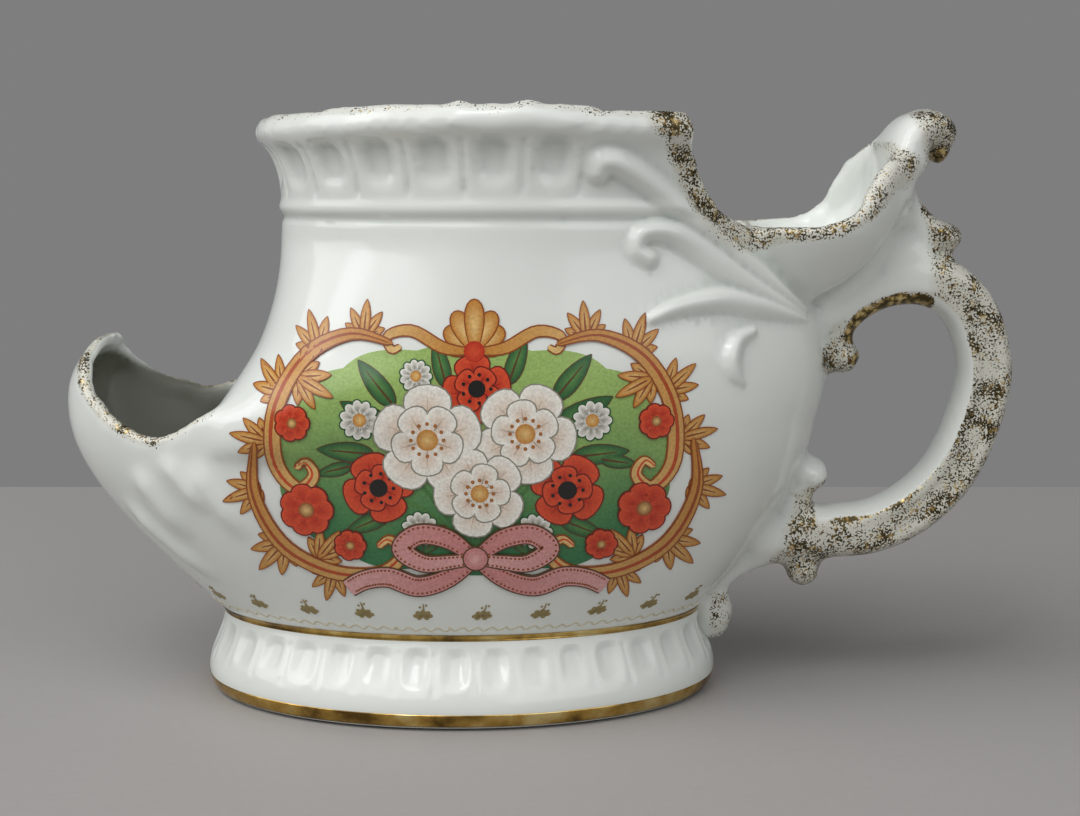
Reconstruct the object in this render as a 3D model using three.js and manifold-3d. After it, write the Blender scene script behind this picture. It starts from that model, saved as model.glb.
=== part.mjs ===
// Porcelain shaving scuttle: a hot-water mug with a scoop for the brush, a soap tray and a brush rest.
// Millimetres, +Z up. The scoop points to -X, the handle to +X, and the decorated face looks to -Y.

import * as THREE from 'three';
import { mergeVertices } from 'three/addons/utils/BufferGeometryUtils.js';
import Module from 'manifold-3d';

const wasm = await Module();
wasm.setup();

// Driving dimensions
const JOINT_GAP = 0.3; // slip layer between pieces that are stuck together
const VESSEL_WALL = 3.4;
const SHOULDER_WALL = 4.4; // thicker than the collar's, so that it forms a ledge for the tray
const COLLAR_WALL = 2.6;
const FOOT_WALL = 3.8;
const FLOOR = 4;

const FOOT_HEIGHT = 13.5;
const BELLY_HEIGHT = 36.5;
const SHOULDER_HEIGHT = 31;
const COLLAR_HEIGHT = 17.5;
const RIM_HEIGHT = 4;
const RIM_SWELL = 2; // extra height of the rim at the middle of each long side
const RIM_BULGE = 1.1;

const NECK_OFFSET = 10.5; // how far the neck sits toward the handle from the foot's centre

// Half sizes in plan at the bottom, at two shaping levels and at the top of each section
const FOOT = { length: [46, 47.5, 43.2, 43.1], depth: [30, 31.5, 25.5, 24] };
const BELLY = {
  spoutSide: [43.1, 51.3, 72.4, 70.5],
  handleSide: [43.1, 52.5, 62.4, 63.6],
  depth: [24, 31, 33.2, 33],
};
const SHOULDER = {
  spoutSide: [43, 34.6, 31.2, 31.4],
  handleSide: [63.6, 67.8, 62.5, 56],
  depth: [33, 33.2, 29.5, 28.2],
};
const COLLAR = {
  spoutSide: [31.4, 31, 30.6, 34.9],
  handleSide: [56, 54.5, 53.5, 57],
  depth: [28.2, 27.8, 27.4, 31.2],
};
const SPOUT_BLUNTNESS = 2.5; // power of the oval on the spout side, where 2 is an ellipse
const THROAT_BLUNTNESS = 4;

const SPOUT_LIP_RISE = 14.5; // tip of the lip over its lowest point
const SPOUT_DIP_BACK = 20; // from the tip to the lowest point of the lip
const SPOUT_LIP_END_RISE = 5.7;
const SPOUT_LIP_RUN = 13; // from the lowest point to where the lip meets the neck
const SPOUT_LIP_LEAN = 6; // how far the tip of the lip curls back in
const SPOUT_LIP_ROLL = 2;
const SPOUT_ROOT_LEAN = 10; // how far the joint leans over the height of the belly

const REST_LENGTH = 35;
const REST_WIDTH = 41;
const REST_HEIGHT = 27.4;
const REST_DROP = 13; // tip of the rest's underside below the top of the shoulder
const REST_OVERLAP = 12; // how far the rest's oval reaches back over the neck
const REST_LOBE = 6.9; // from the top of the dip to the end of the rest
const REST_WALL = 3;
const REST_TIP = 0.1; // share of the rest's width left at the tip of its underside
const DIP_WIDTH = 16.4; // run of the dip from the rim's corner to its lowest point
const DIP_FLOOR = 1.6; // lowest point of the dip above the top of the shoulder
const DIP_REST_RISE = 13;
const DIP_REST_RUN = 17;

const HORN_HEIGHT = 7.9; // above the end wall of the rest
const HORN_WIDTH = 20;
const HORN_ROOT = 5; // how far its back runs down behind the end wall
const HORN_OVERHANG = 8.4; // how far the curl leans out over the handle
const THUMB_ROLL = 2.1;
const THUMB_WIDTH = 10;
const THUMB_RISE = 1; // of the roll over the top of the handle
const THUMB_EDGE = 0.8; // rounding of its sides

const HANDLE_REACH = 35.4; // outside of the loop, out from the belly's top edge
const HANDLE_THICKNESS = 9.6;
const HANDLE_WIDTH = 11.6;
const HANDLE_FOOT_LEVEL = 14.7; // middle of the lower strand above the foot
const HANDLE_TOP_LEVEL = 23.5; // middle of the upper strand above the belly
const UPPER_CURL_RADIUS = 2.7;
const UPPER_CURL_DROP = 13.5; // below the middle of the upper strand
const LOWER_CURL_RADIUS = 4.4;
const LOWER_KNOB_RADIUS = 2.6;
const CURL_WIDTH = 9;
const TAIL_WIDTH = 7;
const TAIL_THICKNESS = 4.4;
const DROP_SIZE = { thick: 3, wide: 3.2, tall: 5 };

const COLLAR_FLUTES = 24;
const FOOT_FLUTES = 34;
const COLLAR_FLUTE_DEPTH = 0.9;
const FOOT_FLUTE_DEPTH = 0.8;

const TRAY_THICKNESS = 2.4;
const TRAY_DEPTH = 4.5;
const TRAY_SLOPE = 9; // width of the tray's sloping side
const TRAY_STEP = 1; // how much thicker the sloping side is than the rim of the tray
const DRAIN_HOLE_RADIUS = 2.3;
const DRAIN_RING_RADIUS = 11;
const DRAIN_HOLES = 6;

const SCROLL_HEIGHT = 1.6; // how far the shoulder scrolls stand out
const SCROLL_WIDTH = 5; // of the longest scroll at its head

// Levels worked out from the heights
const SEAM = FOOT_HEIGHT + BELLY_HEIGHT;
const NECK = SEAM + SHOULDER_HEIGHT;
const COLLAR_TOP = NECK + COLLAR_HEIGHT;
const REST_BOTTOM = NECK - REST_DROP;
const REST_TOP = REST_BOTTOM + REST_HEIGHT;
const DIP_LOW = NECK + DIP_FLOOR;
const REST_X = SHOULDER.handleSide[3] - REST_OVERLAP + REST_LENGTH / 2;
const REST_END = REST_X + REST_LENGTH / 2;
const DIP_X = REST_END - REST_LOBE - DIP_REST_RUN;

// Facets round each kind of section
const SIDES = 40;
const RIM_SIDES = 60;
const REST_SIDES = 36;
const ROLL_SIDES = 20;
const HOLE_SIDES = 14;
const FLUTE_FACETS = 3;
const CUT_REACH = 200; // larger than the whole object

const porcelain = { color: '#eef1ec', roughness: 0.18, metalness: 0 };
const gilded = { color: '#c09a4c', roughness: 0.35, metalness: 0.4 };
const assembly = new THREE.Group();

function bezier([a, b, c, d], s) {
  const r = 1 - s;
  return a * r * r * r + 3 * b * r * r * s + 3 * c * r * s * s + d * s * s * s;
}

// Solids

function solid(geometry) {
  const bare = geometry.clone();
  bare.deleteAttribute('normal');
  bare.deleteAttribute('uv');
  const merged = mergeVertices(bare);
  return new wasm.Manifold(new wasm.Mesh({
    numProp: 3,
    vertProperties: new Float32Array(merged.attributes.position.array),
    triVerts: new Uint32Array(merged.index.array),
  }));
}

function addPiece(name, body, finish) {
  const mesh = body.getMesh();
  const geometry = new THREE.BufferGeometry();
  geometry.setAttribute('position', new THREE.BufferAttribute(new Float32Array(mesh.vertProperties), 3));
  geometry.setIndex(Array.from(mesh.triVerts));
  geometry.computeVertexNormals();
  const piece = new THREE.Mesh(geometry, new THREE.MeshStandardMaterial(finish));
  piece.name = name;
  assembly.add(piece);
}

// Joins each ring to the next; rings turn anticlockwise seen from the end that they grow toward
function ringFaces(rows, count, wraps) {
  const faces = [];
  for (let row = 0; row < (wraps ? rows : rows - 1); row += 1) {
    const here = row * count;
    const there = (row + 1) % rows * count;
    for (let col = 0; col < count; col += 1) {
      const next = (col + 1) % count;
      faces.push(here + col, here + next, there + next);
      faces.push(here + col, there + next, there + col);
    }
  }
  return faces;
}

// A closed skin through rings, with flat ends
function loft(rings) {
  const count = rings[0].length;
  const points = rings.flat();
  const faces = ringFaces(rings.length, count, false);
  const middle = (ring) => ring.reduce((sum, p) => sum.clone().add(p)).divideScalar(count);
  const low = points.push(middle(rings[0])) - 1;
  const high = points.push(middle(rings[rings.length - 1])) - 1;
  const top = (rings.length - 1) * count;
  for (let col = 0; col < count; col += 1) {
    const next = (col + 1) % count;
    faces.push(low, next, col);
    faces.push(high, top + col, top + next);
  }
  const geometry = new THREE.BufferGeometry().setFromPoints(points);
  geometry.setIndex(faces);
  return solid(geometry);
}

// A wall open at both ends: up the outer rings, over the edge and down the inner ones
function wall(outer, inner) {
  const rings = [...outer, ...inner.reverse()];
  const geometry = new THREE.BufferGeometry().setFromPoints(rings.flat());
  geometry.setIndex(ringFaces(rings.length, rings[0].length, true));
  return solid(geometry);
}

// A tube along a curve, with an oval section that may taper; out(point) gives its upward side
function sweep(curve, steps, sides, halfWidth, halfHeight, out, power = 2) {
  const rings = [];
  for (let step = 0; step <= steps; step += 1) {
    const t = step / steps;
    const centre = curve.getPoint(t);
    const along = curve.getTangent(t);
    const up = out(centre);
    up.addScaledVector(along, -up.dot(along)).normalize();
    const across = new THREE.Vector3().crossVectors(up, along);
    const ring = [];
    for (let side = 0; side < sides; side += 1) {
      const angle = 2 * Math.PI * side / sides;
      const u = Math.sign(Math.cos(angle)) * Math.abs(Math.cos(angle)) ** (2 / power);
      const v = Math.sign(Math.sin(angle)) * Math.abs(Math.sin(angle)) ** (2 / power);
      const point = centre.clone().addScaledVector(across, u * halfWidth(t));
      ring.push(point.addScaledVector(up, v * halfHeight(t)));
    }
    rings.push(ring);
  }
  return loft(rings);
}

// A side-view outline in X and Z, as thick as the given width across Y
function slab(shape, width, bevel = 0, segments = 10) {
  const geometry = new THREE.ExtrudeGeometry(shape, {
    depth: width - 2 * bevel,
    bevelEnabled: bevel > 0,
    bevelSize: bevel,
    bevelThickness: bevel,
    bevelOffset: -bevel,
    bevelSegments: 2,
    curveSegments: segments,
  });
  geometry.translate(0, 0, bevel - width / 2);
  geometry.rotateX(Math.PI / 2);
  return solid(geometry);
}

function roller(x, z, radius, width) {
  const geometry = new THREE.CylinderGeometry(radius, radius, width, ROLL_SIDES);
  geometry.translate(x, 0, z);
  return solid(geometry);
}

function block(x0, x1, z0, z1) {
  const shape = new THREE.Shape();
  shape.moveTo(x0, z0);
  shape.lineTo(x1, z0);
  shape.lineTo(x1, z1);
  shape.lineTo(x0, z1);
  return slab(shape, CUT_REACH);
}

// Oval sections of the vessel

function ovalPoint(oval, angle, z, grow = 0) {
  const cos = Math.cos(angle);
  const sin = Math.sin(angle);
  const power = cos < 0 ? oval.blunt : 2;
  const reach = cos < 0 ? oval.centre + oval.spoutSide : oval.handleSide - oval.centre;
  const x = oval.centre + (reach + grow) * Math.sign(cos) * Math.abs(cos) ** (2 / power);
  const y = (oval.depth + grow) * Math.sign(sin) * Math.abs(sin) ** (2 / power);
  return new THREE.Vector3(x, y, z);
}

function ovalRing(oval, z, grow = 0, sides = SIDES) {
  return Array.from({ length: sides }, (_, i) => ovalPoint(oval, 2 * Math.PI * i / sides, z, grow));
}

function footOval(s) {
  const length = bezier(FOOT.length, s);
  return { spoutSide: length, handleSide: length, depth: bezier(FOOT.depth, s), centre: 0, blunt: 2 };
}

function sectionOval(section, s, centre, blunt) {
  return {
    spoutSide: bezier(section.spoutSide, s),
    handleSide: bezier(section.handleSide, s),
    depth: bezier(section.depth, s),
    centre,
    blunt,
  };
}

const bellyOval = (s) => sectionOval(BELLY, s, NECK_OFFSET * s, 2 + (SPOUT_BLUNTNESS - 2) * s);
const throatBlunt = (s) => THROAT_BLUNTNESS + (2 - THROAT_BLUNTNESS) * s;
const shoulderOval = (s) => sectionOval(SHOULDER, s, NECK_OFFSET, throatBlunt(s));
const collarOval = (s) => sectionOval(COLLAR, s, NECK_OFFSET, 2);

// Points spaced evenly along an oval, so that flutes come out equally wide
function evenAngles(oval, count) {
  const samples = 720;
  const lengths = [0];
  for (let i = 1; i <= samples; i += 1) {
    const here = ovalPoint(oval, 2 * Math.PI * i / samples, 0);
    const before = ovalPoint(oval, 2 * Math.PI * (i - 1) / samples, 0);
    lengths.push(lengths[i - 1] + here.distanceTo(before));
  }
  const total = lengths[samples];
  return Array.from({ length: count }, (_, i) => {
    const upper = lengths.findIndex((length) => length > total * i / count);
    const part = (total * i / count - lengths[upper - 1]) / (lengths[upper] - lengths[upper - 1]);
    return 2 * Math.PI * (upper - 1 + part) / samples;
  });
}

// A ring whose points step in and out as flutes, with depth fading by the given share
function flutedRing(oval, angles, z, depth) {
  return angles.map((angle, i) => {
    const phase = (i % FLUTE_FACETS) / FLUTE_FACETS;
    return ovalPoint(oval, angle, z, -depth * Math.sqrt(Math.sin(Math.PI * phase)));
  });
}

function skin(ovalAt, low, high, grow, levels, sides = SIDES) {
  const rings = [];
  for (let level = 0; level <= levels; level += 1) {
    const s = level / levels;
    rings.push(ovalRing(ovalAt(s), low + (high - low) * s, grow, sides));
  }
  return loft(rings);
}

// Raises a ring of the collar or the rim toward the middle of its long sides
function liftRing(ring, share) {
  const depth = Math.max(...ring.map((point) => point.y));
  ring.forEach((point) => {
    point.z += share * RIM_SWELL * (point.y / depth) ** 2;
  });
  return ring;
}

// Outer skins grown by a gap, to cut neighbours clear of the vessel
const footSkin = (grow) => skin(footOval, 0, FOOT_HEIGHT + grow, grow, 6);
const bellySkin = (grow) => skin(bellyOval, FOOT_HEIGHT - grow, SEAM, grow, 9);
const shoulderSkin = (grow) => skin(shoulderOval, SEAM - grow, NECK, grow, 8);

function collarSkin(grow) {
  const rings = [0, 0.3, 0.5, 0.7, 0.85, 1].map((s) => {
    return liftRing(ovalRing(collarOval(s), NECK + COLLAR_HEIGHT * s, grow), s);
  });
  rings.push(liftRing(ovalRing(collarOval(1), COLLAR_TOP + 2 * RIM_HEIGHT, grow), 1));
  return loft(rings);
}

function restRing(t, grow) {
  const share = 1 - (1 - REST_TIP) * (1 - t) ** 3;
  const z = REST_BOTTOM + REST_HEIGHT * t;
  return Array.from({ length: REST_SIDES }, (_, i) => {
    const angle = 2 * Math.PI * i / REST_SIDES;
    const x = REST_X + (REST_LENGTH / 2 * share + grow) * Math.cos(angle);
    return new THREE.Vector3(x, (REST_WIDTH / 2 * share + grow) * Math.sin(angle), z);
  });
}

const restSkin = (grow) => loft([0, 0.12, 0.25, 0.4, 0.6, 0.8, 1].map((t) => restRing(t, grow)));

// Cutting shapes

// The dip that opens the rim toward the brush rest
function dipCut() {
  const corner = DIP_X - DIP_WIDTH;
  const end = DIP_X + DIP_REST_RUN;
  const cornerRise = COLLAR_TOP + RIM_HEIGHT / 2 - DIP_LOW;
  const lowest = 1.5 * Math.PI;
  const cornerTop = DIP_LOW + cornerRise;
  const restTop = DIP_LOW + DIP_REST_RISE;
  const shape = new THREE.Shape();
  shape.moveTo(corner, COLLAR_TOP + CUT_REACH);
  shape.lineTo(corner, cornerTop);
  shape.absellipse(DIP_X, cornerTop, DIP_WIDTH, cornerRise, Math.PI, lowest, false);
  shape.absellipse(DIP_X, restTop, DIP_REST_RUN, DIP_REST_RISE, lowest, 2 * Math.PI, false);
  shape.lineTo(end, COLLAR_TOP + CUT_REACH);
  return slab(shape, CUT_REACH, 0, 9);
}

const spoutTip = -BELLY.spoutSide[3];
const spoutDip = spoutTip + SPOUT_DIP_BACK;

// Height of the spout's lip over the seam, by how far it is from the tip
function lipLevel(x) {
  if (x < spoutDip) {
    return SEAM + SPOUT_LIP_RISE * ((spoutDip - x) / SPOUT_DIP_BACK) ** 2;
  }
  const s = Math.min((x - spoutDip) / SPOUT_LIP_RUN, 1);
  return SEAM + SPOUT_LIP_END_RISE * s * s * (3 - 2 * s);
}

// Everything on the spout's side of the leaning joint, moved by the given gap
function spoutSide(shift) {
  const low = -BELLY.spoutSide[0] - 1 + shift;
  const lean = SPOUT_ROOT_LEAN / BELLY_HEIGHT;
  const shape = new THREE.Shape();
  shape.moveTo(low - CUT_REACH, FOOT_HEIGHT - FLOOR);
  shape.lineTo(low - FLOOR * lean, FOOT_HEIGHT - FLOOR);
  shape.lineTo(low + 2 * SPOUT_ROOT_LEAN, SEAM + BELLY_HEIGHT);
  shape.lineTo(low - CUT_REACH, SEAM + BELLY_HEIGHT);
  return slab(shape, CUT_REACH);
}

// Section of the spout above the seam, which curls back in toward the tip of the lip
function lipOval(rise) {
  const oval = bellyOval(1);
  oval.spoutSide -= SPOUT_LIP_LEAN * rise * rise;
  return oval;
}

// A ring of the lip, the given share of the way up from the seam to the lip's edge
function lipRing(share, grow, above = 0) {
  return Array.from({ length: SIDES }, (_, i) => {
    const angle = 2 * Math.PI * i / SIDES;
    const rise = share * (lipLevel(ovalPoint(lipOval(0), angle, 0).x) - SEAM);
    return ovalPoint(lipOval(rise / SPOUT_LIP_RISE), angle, SEAM + rise + above, grow);
  });
}

// Hull of belly and spout from the given level to the edge of the lip, and past it by the given height
function hull(low, grow, above = 0) {
  const start = (low - FOOT_HEIGHT) / BELLY_HEIGHT;
  const rings = Array.from({ length: 10 }, (_, i) => {
    const s = start + (1 - start) * i / 9;
    return ovalRing(bellyOval(s), FOOT_HEIGHT + BELLY_HEIGHT * s, grow);
  });
  rings.push(lipRing(0.35, grow), lipRing(0.7, grow), lipRing(1, grow));
  if (above > 0) {
    rings.push(lipRing(1, grow, above));
  }
  return loft(rings);
}

// Vessel

const floorLevel = FOOT_HEIGHT + FLOOR;
const hullShell = hull(FOOT_HEIGHT, 0).subtract(hull(floorLevel, -VESSEL_WALL, BELLY_HEIGHT));

function makeFoot() {
  const angles = evenAngles(footOval(0.4), FOOT_FLUTES * FLUTE_FACETS);
  const outer = [0, 0.12, 0.2, 0.4, 0.6, 0.74, 0.84, 1].map((s) => {
    const fluted = s > 0.15 && s < 0.8;
    return flutedRing(footOval(s), angles, FOOT_HEIGHT * s, fluted ? FOOT_FLUTE_DEPTH : 0);
  });
  const inner = [0, 0.5, 1].map((s) => {
    return angles.map((angle) => ovalPoint(footOval(s), angle, FOOT_HEIGHT * s, -FOOT_WALL));
  });
  addPiece('foot_ring', wall(outer, inner), porcelain);
}

function makeReservoir() {
  const tub = hullShell.subtract(block(-CUT_REACH, CUT_REACH, SEAM, SEAM + CUT_REACH));
  addPiece('reservoir', tub.subtract(spoutSide(JOINT_GAP)), porcelain);
}

function makeSpout() {
  const round = lipRing(1, -VESSEL_WALL / 2, -SPOUT_LIP_ROLL / 2);
  const edge = new THREE.CatmullRomCurve3(round.slice(SIDES * 0.3, SIDES * 0.7 + 1));
  const roll = () => SPOUT_LIP_ROLL;
  const up = () => new THREE.Vector3(0, 0, 1);
  const lip = sweep(edge, 30, 10, roll, roll, up);
  const scoop = hullShell.add(lip).intersect(spoutSide(0));
  addPiece('scoop_spout', scoop.subtract(shoulderSkin(JOINT_GAP)).subtract(footSkin(0)), porcelain);
}

function makeShoulder() {
  const rings = (grow) => [0, 0.13, 0.27, 0.42, 0.57, 0.71, 0.86, 1].map((s) => {
    return ovalRing(shoulderOval(s), SEAM + SHOULDER_HEIGHT * s, grow);
  });
  addPiece('shoulder', wall(rings(0), rings(-SHOULDER_WALL)), porcelain);
}

function makeCollar() {
  const angles = evenAngles(collarOval(0.6), COLLAR_FLUTES * FLUTE_FACETS);
  const outer = [0, 0.25, 0.3, 0.42, 0.5, 0.7, 0.88, 0.95, 1].map((s) => {
    const depth = s > 0.45 && s < 0.9 ? COLLAR_FLUTE_DEPTH : 0;
    return liftRing(flutedRing(collarOval(s), angles, NECK + COLLAR_HEIGHT * s, depth), s);
  });
  const inner = [0, 0.4, 0.7, 1].map((s) => {
    const level = NECK + COLLAR_HEIGHT * s;
    return liftRing(angles.map((angle) => ovalPoint(collarOval(s), angle, level, -COLLAR_WALL)), s);
  });
  addPiece('collar', wall(outer, inner).subtract(dipCut()), porcelain);
}

function makeRim() {
  const oval = collarOval(1);
  const ring = (angle) => {
    const z = COLLAR_TOP + JOINT_GAP + (RIM_HEIGHT - JOINT_GAP) * (1 - Math.cos(angle)) / 2;
    const middle = -COLLAR_WALL / 2;
    const roll = Math.sin(angle) * (COLLAR_WALL / 2 + RIM_BULGE);
    return liftRing(ovalRing(oval, z, middle + roll, RIM_SIDES), 1);
  };
  const steps = [0.1, 0.25, 0.4, 0.55, 0.7, 0.85];
  const outer = steps.map((step) => ring(Math.PI * step));
  const inner = steps.map((step) => ring(-Math.PI * step));
  addPiece('rim', wall(outer, inner).subtract(dipCut()), gilded);
}

function makeTray() {
  const bearing = JOINT_GAP + COLLAR_WALL;
  const rimHeight = DIP_FLOOR * 0.8;
  const seat = collarOval(rimHeight / COLLAR_HEIGHT);
  const opening = SHOULDER_WALL + JOINT_GAP;
  const rim = loft([0, 1].map((s) => ovalRing(seat, NECK + rimHeight * s, -bearing)));
  const bowl = loft([
    ovalRing(seat, NECK - TRAY_DEPTH, -opening - TRAY_SLOPE),
    ovalRing(seat, NECK, -opening),
    ovalRing(seat, NECK + DIP_FLOOR * 0.5, -opening),
  ]);
  const hollow = loft([
    ovalRing(seat, NECK - TRAY_DEPTH + TRAY_THICKNESS, -opening - TRAY_SLOPE - TRAY_STEP),
    ovalRing(seat, NECK + TRAY_THICKNESS, -opening - TRAY_STEP),
  ]);
  let tray = rim.add(bowl).subtract(hollow);
  const drill = new THREE.CylinderGeometry(DRAIN_HOLE_RADIUS, DRAIN_HOLE_RADIUS, CUT_REACH, HOLE_SIDES);
  drill.rotateX(Math.PI / 2);
  for (let hole = 0; hole <= DRAIN_HOLES; hole += 1) {
    const angle = 2 * Math.PI * hole / DRAIN_HOLES;
    const reach = hole < DRAIN_HOLES ? DRAIN_RING_RADIUS : 0;
    const x = NECK_OFFSET + reach * Math.cos(angle);
    tray = tray.subtract(solid(drill.clone().translate(x, reach * Math.sin(angle), NECK)));
  }
  addPiece('soap_tray', tray, porcelain);
}

// Brush rest and its crest

function makeRest() {
  const cup = restSkin(0);
  const floor = REST_WALL / REST_HEIGHT;
  const inset = (t) => -REST_WALL * Math.min(1, t * 4);
  const inner = loft([floor, 0.2, 0.35, 0.55, 0.8, 1].map((t) => restRing(t, inset(t))));
  const lift = new THREE.Matrix4().makeTranslation(0, 0, 1).elements;
  const hollow = inner.add(inner.transform(Array.from(lift)));
  const neck = shoulderSkin(JOINT_GAP).add(collarSkin(JOINT_GAP));
  addPiece('brush_rest', cup.subtract(hollow).subtract(dipCut()).subtract(neck), porcelain);
}

const hornTip = REST_END + HORN_OVERHANG;

function makeHorn() {
  const top = REST_TOP + HORN_HEIGHT;
  const low = REST_TOP - HORN_ROOT;
  const side = new THREE.Shape();
  const out = (share) => REST_END + HORN_OVERHANG * share;
  const up = (share) => REST_TOP + HORN_HEIGHT * share;
  side.moveTo(REST_END - REST_WALL, low);
  side.lineTo(REST_END - 2 * REST_WALL, REST_TOP);
  side.bezierCurveTo(out(-0.6), up(0.5), out(-0.12), top, out(0.36), top);
  side.bezierCurveTo(out(0.76), top, hornTip, up(0.68), hornTip, up(0.43));
  side.bezierCurveTo(hornTip, up(0), out(0.48), REST_TOP, out(0.24), low);
  const half = HORN_WIDTH / 2;
  const front = new THREE.Shape();
  front.moveTo(-half, low - HORN_ROOT);
  front.lineTo(-half, low);
  front.bezierCurveTo(-half, up(0.5), -half * 0.6, top, 0, top);
  front.bezierCurveTo(half * 0.6, top, half, up(0.5), half, low);
  front.lineTo(half, low - HORN_ROOT);
  const through = { depth: CUT_REACH, bevelEnabled: false, curveSegments: 8 };
  const across = new THREE.ExtrudeGeometry(front, through);
  across.rotateX(Math.PI / 2);
  across.rotateZ(Math.PI / 2);
  const horn = slab(side, HORN_WIDTH, 0, 7).intersect(solid(across));
  const seat = new THREE.Matrix4().makeTranslation(0, 0, JOINT_GAP).elements;
  const rest = restSkin(JOINT_GAP);
  addPiece('rest_horn', horn.subtract(rest.add(rest.transform(Array.from(seat)))), gilded);
}

// Handle

const strandRoot = BELLY.handleSide[3];
const handleLow = FOOT_HEIGHT + HANDLE_FOOT_LEVEL;
const handleHigh = SEAM + HANDLE_TOP_LEVEL;
const handleTall = handleHigh - handleLow;
const loopEnd = strandRoot + HANDLE_REACH - HANDLE_THICKNESS / 2;

function handlePoint(out, up) {
  return new THREE.Vector3(strandRoot + (loopEnd - strandRoot) * out, 0, handleLow + handleTall * up);
}

const handleLine = new THREE.CatmullRomCurve3([
  handlePoint(0.05, 0.9),
  handlePoint(0.4, 1.0),
  handlePoint(0.68, 1.0),
  handlePoint(0.87, 0.91),
  handlePoint(0.97, 0.77),
  handlePoint(1.0, 0.61),
  handlePoint(0.93, 0.41),
  handlePoint(0.8, 0.23),
  handlePoint(0.61, 0.1),
  handlePoint(0.38, 0.02),
  handlePoint(0.14, 0),
  handlePoint(-0.4, -0.01),
]);

const strap = () => new THREE.Vector3(0, 1, 0);

function handleBody(grow) {
  const thick = () => HANDLE_THICKNESS / 2 + grow;
  const wide = () => HANDLE_WIDTH / 2 + grow;
  return sweep(handleLine, 34, 12, thick, wide, strap, 3);
}

function vesselCut() {
  const upper = shoulderSkin(JOINT_GAP).add(restSkin(JOINT_GAP));
  return bellySkin(JOINT_GAP).add(upper).add(footSkin(JOINT_GAP));
}

function makeHandle() {
  addPiece('handle', handleBody(0).subtract(vesselCut()), gilded);
}

function makeThumb() {
  const x = hornTip - THUMB_ROLL;
  const z = handleHigh + HANDLE_THICKNESS / 2 + THUMB_ROLL + THUMB_RISE;
  const out = (share) => REST_END + HORN_OVERHANG * share;
  const up = (rolls) => z + THUMB_ROLL * rolls;
  const shape = new THREE.Shape();
  shape.moveTo(REST_END - 2 * REST_WALL, up(-3));
  shape.lineTo(REST_END - REST_WALL, up(3.3));
  shape.bezierCurveTo(out(0.12), up(2.9), out(0.6), up(1), x, up(1));
  shape.absarc(x, z, THUMB_ROLL, Math.PI / 2, -Math.PI / 2, true);
  shape.lineTo(x - THUMB_ROLL / 2, up(-3));
  const body = slab(shape, THUMB_WIDTH, THUMB_EDGE).subtract(vesselCut());
  addPiece('thumb_scroll', body.subtract(handleBody(JOINT_GAP)), gilded);
}

function makeUpperCurl() {
  const radius = UPPER_CURL_RADIUS;
  const x = strandRoot + 2 * radius;
  const z = handleHigh - UPPER_CURL_DROP;
  const stem = new THREE.CatmullRomCurve3([
    new THREE.Vector3(x + radius * 0.75, 0, handleHigh - HANDLE_THICKNESS * 0.3),
    new THREE.Vector3(x - radius * 0.22, 0, z + radius * 2.2),
    new THREE.Vector3(x - radius * 0.44, 0, z + radius * 0.37),
  ]);
  const thick = (t) => radius * (0.96 - 0.4 * t);
  const wide = () => CURL_WIDTH / 2;
  const curl = sweep(stem, 8, 10, thick, wide, strap, 3).add(roller(x, z, radius, CURL_WIDTH));
  addPiece('upper_curl', curl.subtract(handleBody(JOINT_GAP)).subtract(vesselCut()), gilded);
}

function makeLowerCurl() {
  const level = handleLow + HANDLE_THICKNESS / 2 + LOWER_CURL_RADIUS;
  const belly = bezier(BELLY.handleSide, (level - FOOT_HEIGHT) / BELLY_HEIGHT);
  const curl = roller(belly + LOWER_CURL_RADIUS / 2, level, LOWER_CURL_RADIUS, CURL_WIDTH);
  addPiece('lower_curl', curl.subtract(handleBody(JOINT_GAP)).subtract(vesselCut()), gilded);
}

function knobBody(grow) {
  const x = strandRoot - LOWER_KNOB_RADIUS * 0.2;
  const z = handleLow - HANDLE_THICKNESS / 2 - LOWER_KNOB_RADIUS * 0.7;
  return roller(x, z, LOWER_KNOB_RADIUS + grow, CURL_WIDTH + 2 * grow);
}

function makeLowerKnob() {
  addPiece('lower_knob', knobBody(0).subtract(handleBody(JOINT_GAP)), gilded);
}

function makeTail() {
  const low = FOOT_HEIGHT + TAIL_THICKNESS / 3;
  const edge = (z) => bezier(BELLY.handleSide, (z - FOOT_HEIGHT) / BELLY_HEIGHT);
  const start = handleLow - HANDLE_THICKNESS * 0.55;
  const middle = (low + start) / 2;
  const line = new THREE.CatmullRomCurve3([
    new THREE.Vector3(edge(start) + TAIL_THICKNESS, 0, start + TAIL_THICKNESS * 0.45),
    new THREE.Vector3(edge(middle) + TAIL_THICKNESS * 0.45, 0, middle),
    new THREE.Vector3(edge(low) + TAIL_THICKNESS * 0.27, 0, low),
  ]);
  const thick = (t) => TAIL_THICKNESS / 2 * (1 - 0.35 * t);
  const wide = (t) => TAIL_WIDTH / 2 * (1 - 0.4 * t);
  const strand = (grow) => sweep(line, 10, 10, (t) => thick(t) + grow, (t) => wide(t) + grow, strap, 2);
  const spur = strand(0).subtract(handleBody(JOINT_GAP)).subtract(vesselCut());
  addPiece('tail_spur', spur.subtract(knobBody(JOINT_GAP)), gilded);
  const drop = new THREE.SphereGeometry(1, 14, 10);
  drop.scale(DROP_SIZE.thick, DROP_SIZE.wide, DROP_SIZE.tall);
  drop.translate(FOOT.length[3] + DROP_SIZE.thick * 0.9, 0, FOOT_HEIGHT - DROP_SIZE.tall * 0.32);
  addPiece('tail_drop', solid(drop).subtract(vesselCut()).subtract(strand(JOINT_GAP)), gilded);
}

// Relief scrolls on the shoulder, mirrored on the far side

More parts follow.
